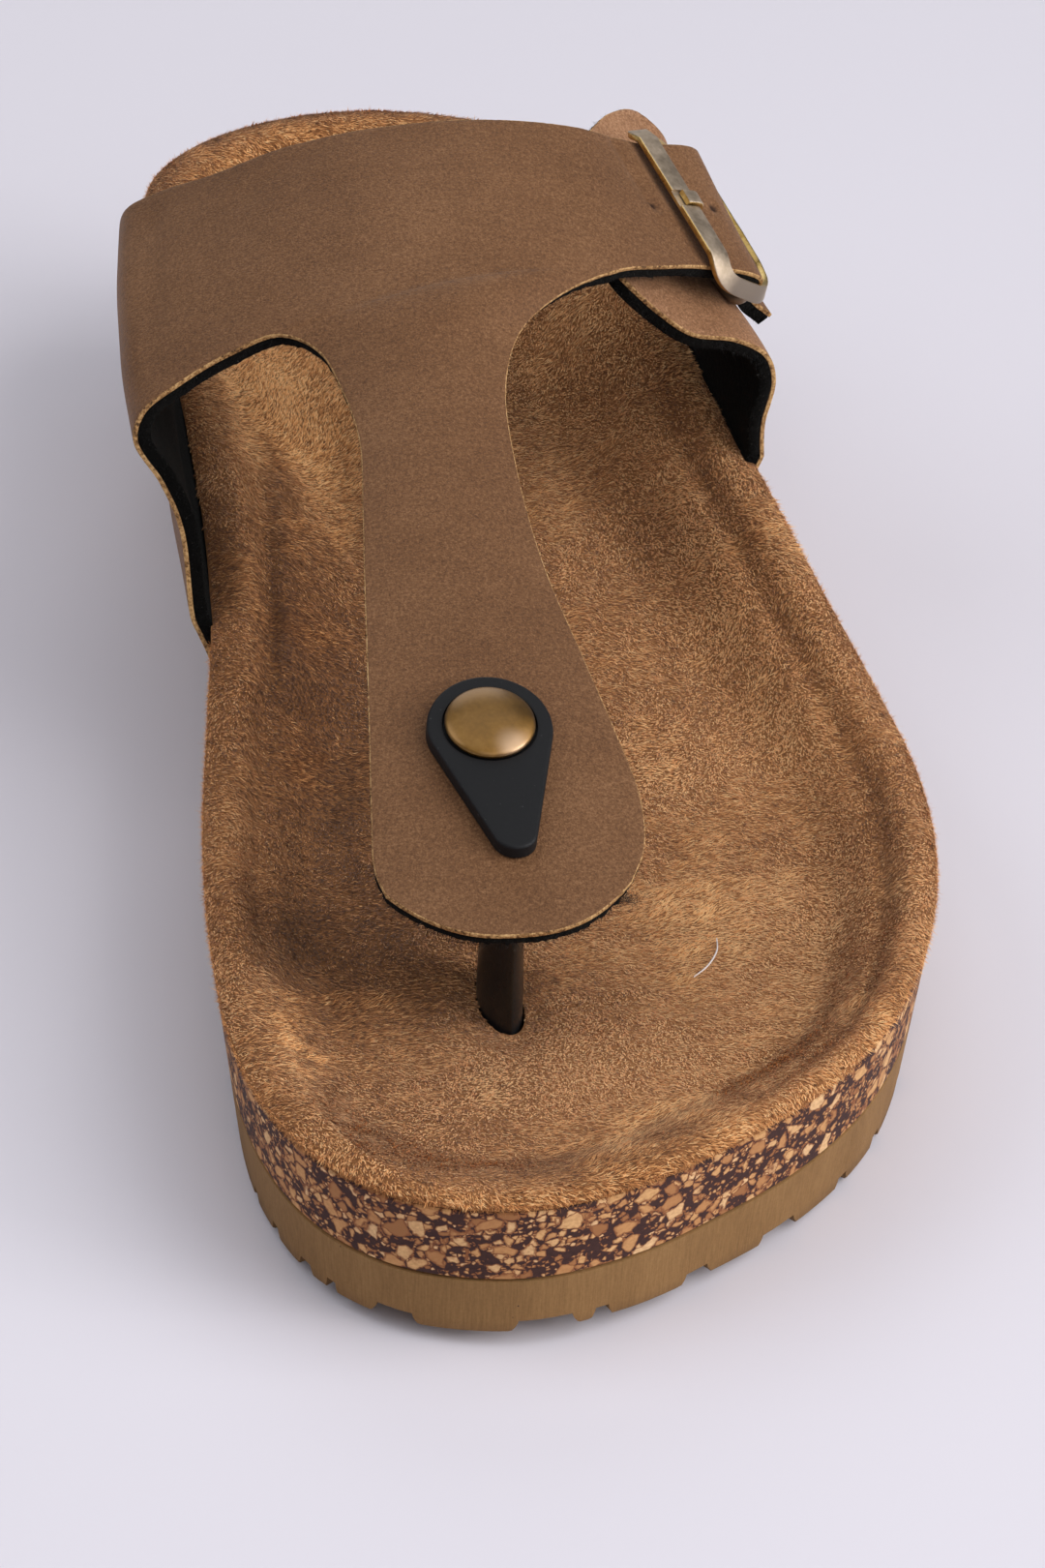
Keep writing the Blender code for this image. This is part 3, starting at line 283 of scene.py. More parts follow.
def world(p):
    """Table millimetres to metres in the row frame."""
    return (np.asarray(p, float) - np.array([SHIFT_X, SHIFT_Y, 0.0])) * MM


def waves(seed, size, count=14):
    """Smooth random field over x, y with features of about this size, in -1 to 1."""
    r = np.random.default_rng(seed)
    ang = r.uniform(0, 2 * np.pi, count)
    freq = 2 * np.pi / size * r.uniform(0.45, 1.25, count)
    kx, ky, ph = freq * np.cos(ang), freq * np.sin(ang), r.uniform(0, 2 * np.pi, count)

    def field(x, y):
        x, y = np.asarray(x, float)[..., None], np.asarray(y, float)[..., None]
        return np.cos(kx * x + ky * y + ph).sum(-1) / math.sqrt(count) * 0.8
    return field


def outline():
    """Closed plan outline: heel, inner side, toe, outer side."""
    loop = [(HEEL_TIP[1], Y_HEEL - HEEL_TIP[0])]
    loop += [(m, Y_HEEL - s) for s, m, _ in PLAN]
    loop += [(TOE_TIP[1], Y_HEEL - TOE_TIP[0])]
    loop += [(l, Y_HEEL - s) for s, _, l in reversed(PLAN)]
    return spline(loop, 24, closed=True)


EDGE = outline()
TOE_AT = int(np.argmin(EDGE[:, 1]))
MEDIAL, LATERAL = EDGE[:TOE_AT + 1], EDGE[TOE_AT:]
SIDE_FINE = {c: spline(np.array(SIDE)[:, [0, k]], 8) for k, c in enumerate(SIDE_COLUMNS) if k}
TAPER_ROWS = np.array(TAPER)


def side_x(y, side):
    half = MEDIAL[::-1] if side < 0 else LATERAL
    return np.interp(y, half[:, 1], half[:, 0])


def side_table(column, y):
    fine = SIDE_FINE[column]
    return np.maximum(np.interp(Y_HEEL - np.asarray(y, float), fine[:, 0], fine[:, 1]), 0.0)


def taper(y, side):
    s = Y_HEEL - np.asarray(y, float)
    inner, outer = (np.interp(s, TAPER_ROWS[:, 0], TAPER_ROWS[:, k]) for k in (1, 2))
    w = 0.5 + 0.5 * side
    return inner * (1 - w) + outer * w


def lean(y, z, side):
    rim = side_table("rim", y)
    return taper(y, side) * np.clip((rim - z) / rim, 0.0, 1.0)


def resample(path, n):
    d = np.r_[0, np.cumsum(np.linalg.norm(np.diff(path, axis=0), axis=1))]
    at = np.linspace(0, d[-1], n + 2)[1:-1]
    return np.stack([np.interp(at, d, path[:, k]) for k in range(path.shape[1])], 1)


SPINE_HEEL, SPINE_TOE, LEVELS = Y_HEEL - 33.0, Y_HEEL - 212.0, 84
TOE_FAN, HEEL_FAN = 62, 50


def footprint():
    """Outline points, each with the point of the middle line that it faces."""
    ys = np.linspace(SPINE_HEEL, SPINE_TOE, LEVELS + 1)
    med = [(side_x(y, -1), y) for y in ys]
    lat = [(side_x(y, 1), y) for y in ys]
    spine = [((a[0] + b[0]) / 2, a[1]) for a, b in zip(med, lat)]
    toe_path = np.vstack([MEDIAL[MEDIAL[:, 1] < SPINE_TOE], LATERAL[LATERAL[:, 1] < SPINE_TOE][1:]])
    toe_path = np.vstack([med[-1], toe_path, lat[-1]])
    heel_path = np.vstack([LATERAL[LATERAL[:, 1] > SPINE_HEEL], MEDIAL[MEDIAL[:, 1] > SPINE_HEEL]])
    heel_path = np.vstack([lat[0], heel_path, med[0]])
    points = list(med)
    facing = list(range(LEVELS + 1))
    points += list(resample(toe_path, TOE_FAN))
    facing += [LEVELS] * TOE_FAN
    points += lat[::-1]
    facing += list(range(LEVELS, -1, -1))
    points += list(resample(heel_path, HEEL_FAN))
    facing += [0] * HEEL_FAN
    return np.array(points), facing, np.array(spine)


POINTS, FACING, SPINE = footprint()
INWARD = SPINE[FACING] - POINTS
REACH = np.linalg.norm(INWARD, axis=1)
INWARD = INWARD / REACH[:, None]
SIDE_OF = np.clip((POINTS[:, 0] - SPINE[FACING][:, 0]) / 22.0, -1.0, 1.0)


def bed_height(y, depth):
    rim, bed, run = (side_table(c, y) for c in ("rim", "bed", "run"))
    fall = (rim + RIM_CROWN - bed) * smooth01((depth - CREST) / run)
    edge = EDGE_ROUND * np.clip(1 - depth / CREST, 0, 1) ** 2
    return rim + RIM_CROWN - fall - edge


def insole_under(y, depth):
    thin = (INSOLE_THICK - INSOLE_EDGE) * np.clip(1 - depth / CREST, 0, 1) ** 2
    return bed_height(y, depth) - INSOLE_THICK + thin


# the pressed crease inside the rim: how far in it runs, and how deep, by distance from the heel
CREASE_COLUMNS = ("s", "in", "deep")
CREASE = (
    (0.0, 8.6, 0.25), (60.0, 8.8, 0.5), (110.0, 7.6, 0.8), (150.0, 7.0, 0.85),
    (195.0, 6.6, 0.7), (212.0, 5.8, 0.6), (226.0, 5.2, 0.4), (238.0, 4.6, 0.08), (250.0, 4.4, 0.0),
)
BED_WAVE = waves(5, 34.0)
# pressed ridge along the inner side of the toe
RIDGE = ((-36.6, -70.0), (-36.2, -83.0), (-35.8, -95.5), (-34.4, -103.2), (-31.8, -110.2), (-29.2, -114.6), (-25.6, -118.2))
RIDGE_FINE = spline(RIDGE, 10)
# groove along the inner side of the bed, with a swelling beside it
GROOVE = ((-20.6, 60.0), (-22.0, 48.0), (-23.2, 36.0), (-24.9, 19.0), (-26.9, 1.0), (-28.4, -12.0), (-29.6, -26.0))
GROOVE_FINE = spline(GROOVE, 10)


def ridge(x, y, wide, line=RIDGE_FINE):
    """How close a place is to a line: 1 on it, fading out at its ends."""
    x, y = np.asarray(x, float), np.asarray(y, float)
    best = np.full(x.shape, 1e9)
    at = np.zeros(x.shape)
    for k, (a, b) in enumerate(line):
        d = (x - a) ** 2 + (y - b) ** 2
        at = np.where(d < best, k / (len(line) - 1), at)
        best = np.minimum(d, best)
    return np.exp(-best / wide ** 2) * smooth01(at / 0.35) * smooth01((1.0 - at) / 0.2)




def cover_height(x, y, depth):
    rows = np.array(CREASE)
    s = Y_HEEL - y
    at = np.interp(s, rows[:, 0], rows[:, 1])
    deep = np.interp(s, rows[:, 0], rows[:, 2])
    deep = deep * (1 - smooth01((s - 180.0) / 25.0) * (1 - smooth01((x + 14.0) / 8.0)))     # not on the inner side of the toe
    h = bed_height(y, depth)
    h = h - deep * np.exp(-((depth - at) / 1.5) ** 2) + 0.42 * deep * np.exp(-((depth - at - 3.6) / 2.6) ** 2)
    h = h + 0.22 * deep * np.exp(-((depth - at + 3.6) / 2.2) ** 2)
    h = h + 0.16 * BED_WAVE(x, y) * smooth01((depth - 4.0) / 6.0) + 0.42 * ridge(x, y, 1.1)
    h = h - 0.45 * ridge(x, y, 1.4, GROOVE_FINE) + 0.35 * ridge(x + 3.2, y, 2.4, GROOVE_FINE)
    c, n = math.cos(POST_TURN), math.sin(POST_TURN)
    dx, dy = x - POST_CENTRE[0], y - POST_CENTRE[1]
    a, b = c * dx + n * dy, -n * dx + c * dy
    d = np.sqrt((a / 3.0) ** 2 + (b / 7.4) ** 2) - 1.0
    return h - 0.7 * np.exp(-np.maximum(d, 0.0) ** 2 / 0.35)


def ring(depth, height, at_wall=None):
    """One ring of the sole, this far in from its edge."""
    y0 = POINTS[:, 1]
    wall = height(y0, 0.0) if at_wall is None else at_wall
    q = POINTS + INWARD * (depth + lean(y0, wall, SIDE_OF))[:, None]
    return np.column_stack([q, height(q[:, 1], depth)])


# ------------------------------------------------------------------ mesh helpers
def mesh_object(name, verts, faces, mats, indices=None, smooth=True, angle=42, hidden=False):
    me = bpy.data.meshes.new(name)
    me.from_pydata(world(verts).tolist(), [], [tuple(int(i) for i in f) for f in faces])
    for m in mats:
        me.materials.append(m)
    if indices is not None:
        me.polygons.foreach_set("material_index", np.asarray(indices, np.int32))
    me.update()
    if smooth:
        me.shade_smooth()
        me.set_sharp_from_angle(angle=math.radians(angle))
    ob = bpy.data.objects.new(name, me)
    bpy.context.scene.collection.objects.link(ob)
    if hidden:
        ob.hide_render = True
    return ob


def piece(ob, node=None):
    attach(ob, "root")
    if node:
        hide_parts(node)
    return ob


def bake(ob, angle=42):
    """Turns the modifiers' result into the object's own mesh."""
    dg = bpy.context.evaluated_depsgraph_get()
    me = bpy.data.meshes.new_from_object(ob.evaluated_get(dg), preserve_all_data_layers=True, depsgraph=dg)
    old = ob.data
    ob.modifiers.clear()
    ob.data = me
    name = old.name
    bpy.data.meshes.remove(old)
    me.name = name
    me.shade_smooth()
    me.set_sharp_from_angle(angle=math.radians(angle))
    return ob


def cut(ob, cutter, own=False):
    mod = ob.modifiers.new(cutter.name, "BOOLEAN")
    mod.operation = "DIFFERENCE"
    mod.solver = "EXACT"
    mod.use_self = own
    mod.object = cutter


def drop(*obs):
    for ob in obs:
        bpy.data.objects.remove(ob, do_unlink=True)


def sole_mesh(name, rings, top_mid, low_mid, mats):
    """Closed solid from rings that run from the top's middle out, down the wall and in again."""
    n = len(POINTS)
    verts = np.vstack(list(rings) + [top_mid, low_mid])
    i = np.arange(n)
    j = (i + 1) % n
    faces = []
    for k in range(len(rings) - 1):
        a, b = k * n, (k + 1) * n
        faces += np.stack([a + i, b + i, b + j, a + j], 1).tolist()
    t0 = len(rings) * n
    l0 = t0 + len(top_mid)
    last = (len(rings) - 1) * n
    for p in range(n):
        q = (p + 1) % n
        fp, fq = FACING[p], FACING[q]
        if fp == fq:
            faces.append((p, q, t0 + fp))
            faces.append((l0 + fp, last + q, last + p))
        else:
            faces.append((p, q, t0 + fq, t0 + fp))
            faces.append((l0 + fp, l0 + fq, last + q, last + p))
    return mesh_object(name, verts, faces, mats)


def fibres(name, roots, along, up, length, width, tone, mat):
    """Many single hairs as one mesh; each is a thin triangle with its own tone."""
    side = units(np.cross(up, along)) * (width / 2)[:, None]
    verts = np.stack([roots - side, roots + side, roots + along * length[:, None]], 1).reshape(-1, 3)
    faces = np.arange(len(verts)).reshape(-1, 3)
    ob = mesh_object(name, verts, faces, [mat], smooth=False)
    layer = ob.data.attributes.new("tone", "FLOAT", "POINT")
    # each hair's root is painted darker and its tip lighter: painted shade at the roots, down between the hairs
    lift = np.stack([tone - 0.30, tone - 0.30, tone + 0.16], 1).reshape(-1)
    layer.data.foreach_set("value", lift.astype(np.float32))
    return ob


# ------------------------------------------------------------------ materials
class Paint:
    """A material under construction: nodes by short calls."""

    def __init__(self, name, rough, spec=0.5, metal=0.0):
        self.mat = bpy.data.materials.new(name)
        self.mat.use_nodes = True
        self.nt = self.mat.node_tree
        self.bsdf = self.nt.nodes["Principled BSDF"]
        self.set("Roughness", rough)
        self.set("Specular IOR Level", spec)
        self.set("Metallic", metal)
        self.coords = self.nt.nodes.new("ShaderNodeTexCoord").outputs["Object"]

    def set(self, socket, value):
        if isinstance(value, bpy.types.NodeSocket):
            self.nt.links.new(value, self.bsdf.inputs[socket])
        else:
            self.bsdf.inputs[socket].default_value = value

    def node(self, kind, inputs=(), **props):
        n = self.nt.nodes.new(kind)
        for k, v in props.items():
            setattr(n, k, v)
        for k, v in dict(inputs).items():
            if isinstance(v, bpy.types.NodeSocket):
                self.nt.links.new(v, n.inputs[k])
            else:
                n.inputs[k].default_value = v
        return n

    def at(self, scale, turn=(0, 0, 0), shift=(0, 0, 0)):
        """Object coordinates in millimetres times scale."""
        s = scale if isinstance(scale, tuple) else (scale,) * 3
        n = self.node("ShaderNodeMapping", {"Vector": self.coords})
        n.vector_type = "POINT"
        n.inputs["Scale"].default_value = [1000 * v for v in s]
        n.inputs["Rotation"].default_value = turn
        n.inputs["Location"].default_value = shift
        return n.outputs["Vector"]

    def noise(self, scale, detail=3.0, rough=0.55, warp=0.0, turn=(0, 0, 0), shift=(0, 0, 0)):
        return self.node("ShaderNodeTexNoise", {"Vector": self.at(scale, turn, shift), "Scale": 1.0, "Detail": detail,
                                                "Roughness": rough, "Distortion": warp}).outputs["Fac"]

    def math(self, op, a, b=0.0, clamp=False):
        return self.node("ShaderNodeMath", {0: a, 1: b}, operation=op, use_clamp=clamp).outputs[0]

    def span(self, value, lo, hi, to_lo=0.0, to_hi=1.0, smooth=True):
        return self.node("ShaderNodeMapRange", {"Value": value, "From Min": lo, "From Max": hi, "To Min": to_lo, "To Max": to_hi},
                         interpolation_type="SMOOTHSTEP" if smooth else "LINEAR").outputs["Result"]

    def mix(self, fac, a, b, kind="MIX"):
        n = self.node("ShaderNodeMix", data_type="RGBA", blend_type=kind)
        for k, v in ((0, fac), (6, a), (7, b)):
            if isinstance(v, bpy.types.NodeSocket):
                self.nt.links.new(v, n.inputs[k])
            else:
                n.inputs[k].default_value = v if k == 0 else (*v, 1.0)
        return n.outputs[2]

    def ramp(self, fac, *stops):
        n = self.node("ShaderNodeValToRGB", {"Fac": fac})
        el = n.color_ramp.elements
        while len(el) < len(stops):
            el.new(0.5)
        for e, (at, rgb) in zip(el, stops):
            e.position = at
            e.color = (*rgb, 1.0)
        return n.outputs["Color"]

    def bump(self, height, strength, distance, normal=None):
        ins = {"Height": height, "Strength": strength, "Distance": distance}
        if normal is not None:
            ins["Normal"] = normal
        return self.node("ShaderNodeBump", ins).outputs["Normal"]


def suede_paint():
    """Ground of the napped cover, between the hairs."""
    p = Paint("suede_ground", 0.95, 0.1)
    cloud = p.noise(0.035, 2.0, 0.5)
    fine = p.noise(1.4, 4.0, 0.65)
    tone = p.math("ADD", p.math("MULTIPLY", cloud, 0.55), p.math("MULTIPLY", fine, 0.55))
    p.set("Base Color", p.ramp(tone, (0.3, (0.110, 0.042, 0.015)), (0.56, (0.240, 0.100, 0.036)), (0.8, (0.360, 0.165, 0.063))))
    p.set("Normal", p.bump(fine, 0.7, 0.0004))
    p.set("Sheen Weight", 0.2)
    p.set("Sheen Roughness", 0.5)
    p.set("Sheen Tint", (1.0, 0.75, 0.5, 1.0))
    return p.mat


def hair_paint(name, *stops):
    p = Paint(name, 0.85, 0.15)
    tone = p.node("ShaderNodeAttribute", attribute_name="tone").outputs["Fac"]
    p.set("Base Color", p.ramp(tone, *stops))
    p.set("Sheen Weight", 0.15)
    p.set("Sheen Roughness", 0.5)
    return p.mat


def cork_paint():
    """Pressed cork: pale angular chips of several sizes in a dark binder."""
    p = Paint("pressed_cork", 0.72, 0.25)
    warp = p.node("ShaderNodeTexNoise", {"Vector": p.at(0.55), "Scale": 1.0, "Detail": 3.0, "Roughness": 0.6}).outputs["Color"]
    off = p.node("ShaderNodeVectorMath", {0: warp, 1: (0.5, 0.5, 0.5)}, operation="SUBTRACT").outputs[0]

    def chips(scale, bend, share, edge, shift):
        where = p.node("ShaderNodeVectorMath", {0: p.at((scale, scale, 1.3 * scale), shift=(shift, 2 * shift, 3 * shift)),
                                                1: p.node("ShaderNodeVectorMath", {0: off, 1: (bend,) * 3}, operation="MULTIPLY").outputs[0]},
                       operation="ADD").outputs[0]
        cell = p.node("ShaderNodeTexVoronoi", {"Vector": where, "Scale": 1.0, "Randomness": 1.0}, feature="F1")
        rim = p.node("ShaderNodeTexVoronoi", {"Vector": where, "Scale": 1.0, "Randomness": 1.0}, feature="DISTANCE_TO_EDGE").outputs["Distance"]
        rgb = p.node("ShaderNodeSeparateColor", {"Color": cell.outputs["Color"]})
        keep = p.math("GREATER_THAN", rgb.outputs["Red"], 1 - share)
        mask = p.math("MULTIPLY", keep, p.span(rim, edge * 0.55, edge))
        core = p.span(rim, edge, edge * 3.2)
        return mask, rgb.outputs["Green"], core

    grain = p.noise((1.6, 1.6, 2.4), 4.0, 0.65)
    colour = p.mix(grain, (0.020, 0.008, 0.007), (0.075, 0.030, 0.024))
    high = None
    for scale, bend, share, edge, shift in ((1.70, 1.5, 0.34, 0.10, 3.0), (0.80, 0.95, 0.42, 0.075, 7.0), (0.40, 0.60, 0.34, 0.055, 13.0)):
        mask, pick, core = chips(scale, bend, share, edge, shift)
        tan = p.ramp(pick, (0.0, (0.30, 0.125, 0.046)), (0.3, (0.52, 0.255, 0.098)), (0.65, (0.68, 0.390, 0.165)), (1.0, (0.80, 0.53, 0.280)))
        tan = p.mix(p.math("MULTIPLY", p.span(grain, 0.3, 0.75), 0.55), tan, (0.33, 0.14, 0.05))
        rind = p.mix(core, (0.22, 0.075, 0.028), tan)
        colour = p.mix(mask, colour, rind)
        high = mask if high is None else p.math("MAXIMUM", high, mask)
    p.set("Base Color", colour)
    p.set("Normal", p.bump(p.math("ADD", p.math("MULTIPLY", high, 0.6), p.math("MULTIPLY", grain, 0.5)), 0.45, 0.00025))
    return p.mat


def foam_paint():
    """Foam sole: olive brown, ground on a wheel, so with fine upright streaks."""
    p = Paint("foam_sole", 0.8, 0.25)
    streak = p.noise((3.6, 3.6, 0.16), 4.0, 0.7)
    broad = p.noise((0.16, 0.16, 0.03), 2.0, 0.5)
    speck = p.noise(2.6, 2.0, 0.6)
    tone = p.math("ADD", p.math("ADD", p.math("MULTIPLY", streak, 0.6), p.math("MULTIPLY", broad, 0.3)), p.math("MULTIPLY", speck, 0.22))
    col = p.ramp(tone, (0.36, (0.176, 0.091, 0.032)), (0.55, (0.236, 0.126, 0.046)), (0.76, (0.301, 0.168, 0.066)))
    # darker towards the bottom, in patches
    z = p.node("ShaderNodeSeparateXYZ", {"Vector": p.at(1.0)}).outputs["Z"]
    low = p.span(z, 0.4, 3.4, 0.62, 0.0)
    retinted = p.mix(p.math("MULTIPLY", low, p.noise(0.35, 3.0)), col, (0.125, 0.066, 0.028))
    pits = p.span(p.noise(0.9, 1.0, shift=(5, 1, 2)), 0.80, 0.83)
    p.set("Base Color", p.mix(pits, retinted, (0.05, 0.024, 0.012)))
    p.set("Normal", p.bump(p.math("ADD", streak, p.math("MULTIPLY", speck, 0.5)), 0.3, 0.0002))
    return p.mat


HOLES = ((15.44, 0.475), (16.66, 0.51))    # spare holes: section along the band, place across it


def leather_paint(name, spots, light_gain=(1.0, 1.0, 1.0)):
    """Matt fine-grained leather with a cloudy, finely mottled brown."""
    p = Paint(name, 0.6, 0.2)
    cloud = p.noise(0.045, 3.0, 0.55)
    fine = p.noise(2.2, 3.0, 0.62)
    tiny = p.noise(4.6, 2.0, 0.6)
    drag = p.noise((0.05, 0.75, 0.4), 3.0, 0.6, turn=(0, 0, 0.35))
    tone = p.math("ADD", p.math("ADD", p.math("MULTIPLY", cloud, 0.20), p.math("MULTIPLY", fine, 0.45)),
                  p.math("ADD", p.math("MULTIPLY", tiny, 0.40), p.math("MULTIPLY", drag, 0.05)))
    stops = ((0.41, (0.088, 0.036, 0.0135)), (0.55, (0.159, 0.0725, 0.0295)), (0.69, (0.260, 0.132, 0.062)))
    # light_gain brightens the ramp for a painted-light copy of the leather
    col = p.ramp(tone, *((t, tuple(g * v for g, v in zip(light_gain, c))) for t, c in stops))
    # painted shade: a dark spot in the dent at each spare hole stands in for the hole's shaded inside
    for x, y, z in spots:
        gap = p.node("ShaderNodeVectorMath", {0: p.coords, 1: (x, y, z)}, operation="DISTANCE").outputs["Value"]
        col = p.mix(p.span(gap, 0.0003, 0.0010, 0.92, 0.0), col, (0.022, 0.008, 0.004))
    p.set("Base Color", col)
    cells = p.node("ShaderNodeTexVoronoi", {"Vector": p.at(1.9), "Scale": 1.0, "Randomness": 1.0}, feature="DISTANCE_TO_EDGE").outputs["Distance"]
    grain = p.math("ADD", p.math("MULTIPLY", p.span(cells, 0.0, 0.22), 0.55), p.math("MULTIPLY", fine, 0.7))
    n = p.bump(grain, 0.34, 0.00020)
    p.set("Normal", p.bump(p.noise(0.11, 2.0), 0.16, 0.0012, n))
    p.set("Roughness", p.span(fine, 0.3, 0.7, 0.54, 0.70))
    p.set("Sheen Weight", 0.10)
    p.set("Sheen Roughness", 0.45)
    p.set("Sheen Tint", (1.0, 0.85, 0.72, 1.0))
    return p.mat


def cut_edge_paint():
    """Pale cut edge of the leather, with dark crumbs."""
    p = Paint("leather_cut_edge", 0.75, 0.25)
    fine = p.noise(2.3, 3.0, 0.7)
    long = p.noise(0.25, 2.0, 0.5)
    tone = p.math("ADD", p.math("MULTIPLY", fine, 0.75), p.math("MULTIPLY", long, 0.3))
    p.set("Base Color", p.ramp(tone, (0.38, (0.045, 0.022, 0.010)), (0.47, (0.24, 0.120, 0.042)), (0.60, (0.54, 0.330, 0.140)), (0.8, (0.70, 0.49, 0.25))))
    p.set("Normal", p.bump(fine, 0.5, 0.0002))
    return p.mat


def felt_paint():
    p = Paint("black_felt", 1.0, 0.06)
    fine = p.noise(1.6, 5.0, 0.7)
    lint = p.span(p.noise(2.1, 1.0, shift=(3, 8, 1)), 0.74, 0.78)
    base = p.ramp(fine, (0.3, (0.0014, 0.0013, 0.0011)), (0.75, (0.0050, 0.0046, 0.0040)))
    p.set("Base Color", p.mix(p.math("MULTIPLY", lint, 0.5), base, (0.045, 0.043, 0.040)))
    p.set("Normal", p.bump(fine, 0.9, 0.0006))
    p.set("Sheen Weight", 0.02)
    p.set("Sheen Roughness", 0.6)
    return p.mat


def rubber_paint(name, spec, low, high):
    """Moulded black rubber with faint dust."""
    p = Paint(name, 0.5, spec)
    fine = p.noise(2.4, 3.0, 0.6)
    dust = p.span(p.noise(1.3, 2.0, 0.6, shift=(9, 2, 4)), 0.70, 0.78)
    p.set("Base Color", p.mix(p.math("MULTIPLY", dust, 0.3), p.mix(fine, (0.0060, 0.0063, 0.0073), (0.0104, 0.0108, 0.0122)), (0.10, 0.10, 0.10)))
    p.set("Roughness", p.span(fine, 0.2, 0.8, low, high))
    p.set("Normal", p.bump(fine, 0.12, 0.0002))
    return p.mat


def brass_paint(name, dark, mid, pale, rough, stain, coat=0.0, retinted=()):
    p = Paint(name, rough, 0.5, 1.0)
    cloud = p.noise(0.22, 3.0, 0.6)
    fine = p.noise(1.7, 4.0, 0.65)
    tone = p.math("ADD", p.math("MULTIPLY", cloud, 0.6), p.math("MULTIPLY", fine, 0.4))
    col = p.ramp(tone, (0.36, dark), (0.52, mid), (0.68, pale))
    # each retinted spot mixes a tint in round a point: used for a painted highlight on the rivet and painted shade at
    # the buckle's front end
    for x, y, z, near, far, most, tint in retinted:
        gap = p.node("ShaderNodeVectorMath", {0: p.coords, 1: (x, y, z)}, operation="DISTANCE").outputs["Value"]
        col = p.mix(p.span(gap, near, far, most, 0.0), col, tint)
    p.set("Base Color", col)
    p.set("Roughness", p.span(tone, 0.3, 0.7, rough - stain, rough + stain))
    p.set("Normal", p.bump(fine, 0.06, 0.0002))
    p.set("Coat Weight", coat)
    p.set("Coat Roughness", 0.30)
    return p.mat


# ------------------------------------------------------------------ strap surfaces
def columns(table, names, *wanted):
    k = [names.index(w) for w in wanted]
    return np.array([[row[i] for i in k] for row in table], float)


def row_of(table, name):
    return [r[0] for r in table].index(name)


TONGUE_L = columns(TONGUE, TONGUE_COLUMNS, "lx", "ly", "lz")
TONGUE_R = columns(TONGUE, TONGUE_COLUMNS, "rx", "ry", "rz")
BAND_F = columns(BAND, BAND_COLUMNS, "fx", "fy", "fz")
BAND_R = columns(BAND, BAND_COLUMNS, "rx", "ry", "rz")
I0, I1 = (row_of(BAND, n) for n in THROAT)
PER, ACROSS = 16, 40


def band_edges(per):
    front = np.vstack([
        spline(BAND_F[:I0 + 1], per, after=TONGUE_L[0])[:-1],
        spline(BAND_F[I0:I1 + 1], per)[:-1],
        spline(BAND_F[I1:], per, before=TONGUE_R[0])])
    return front, spline(BAND_R, per)


def strap_point(front, rear, bow, hug, out, t, side):
    p = front + (rear - front) * t
    if bow:
        chord = np.array([-1.0 if side < 0 else 1.0, 0.0, 0.35]) if abs(p[0]) > 30 else np.array([0, 0, 1.0])
        p = p + unit(chord) * bow * (4 * t * (1 - t) if bow > 0 else 6.75 * t * t * (1 - t))
    if hug:
        p[0] += hug * (side_x(p[1], side) + side * (out - lean(p[1], p[2], side)) - p[0])
    return p


def ramp(table, names, column, per):
    k = names.index(column)
    values = [row[k] for row in table]
    at = np.linspace(0, len(values) - 1, (len(values) - 1) * per + 1)
    return np.interp(at, range(len(values)), values)


def band_grid(per=PER, across=ACROSS, t0=0.0, t1=1.0):
    front, rear = band_edges(per)
    lift = zip(*(ramp(BAND, BAND_COLUMNS, c, per) for c in ("bow", "hug", "out")))
    ts = np.linspace(t0, t1, across + 1)
    return np.array([[strap_point(f, r, *row, t, -1 if f[0] < 10 else 1) for t in ts]
                     for f, r, row in zip(front, rear, lift)])


def tongue_grid(first, per=PER):
    n = len(first)
    c = np.linspace(0, 1, n)[:, None]
    left = spline(np.vstack([first[0], TONGUE_L]), per, before=BAND_F[I0 - 1])
    right = spline(np.vstack([first[-1], TONGUE_R]), per, before=BAND_F[I1 + 1])
    crown = np.interp(np.linspace(0, len(TONGUE), len(left)), range(len(TONGUE) + 1),
                      [4.0] + [row[6] for row in TONGUE])
    nose = np.interp(np.linspace(0, len(TONGUE), len(left)), range(len(TONGUE) + 1),
                     [0.0] + [row[7] for row in TONGUE])
    rows = []
    for k in range(len(left)):
        arc = 4 * c * (1 - c)
        row = left[k] * (1 - c) + right[k] * c + arc * crown[k] * np.array([[0, 0, 1.0]])
        round_end = 1 - np.abs(2 * c - 1) ** 2.4
        row = row + round_end * nose[k] * np.array([[0, -1.0, -0.3]])
        rows.append(row)
    shift = first - rows[0]
    run = 2.5 * per
    return np.array([row + shift * (1 - smooth01(k / run)) for k, row in enumerate(rows)])


def outer_grid(per=PER, across=ACROSS, t0=0.0, t1=1.0):
    f = spline(columns(OUTER, OUTER_COLUMNS, "fx", "fy", "fz"), per)
    r = spline(columns(OUTER, OUTER_COLUMNS, "rx", "ry", "rz"), per)
    lift = zip(*(ramp(OUTER, OUTER_COLUMNS, c, per) for c in ("bow", "hug", "out")))
    ts = np.linspace(t0, t1, across + 1)
    return np.array([[strap_point(a, b, *row, t, 1) for t in ts] for a, b, row in zip(f, r, lift)])


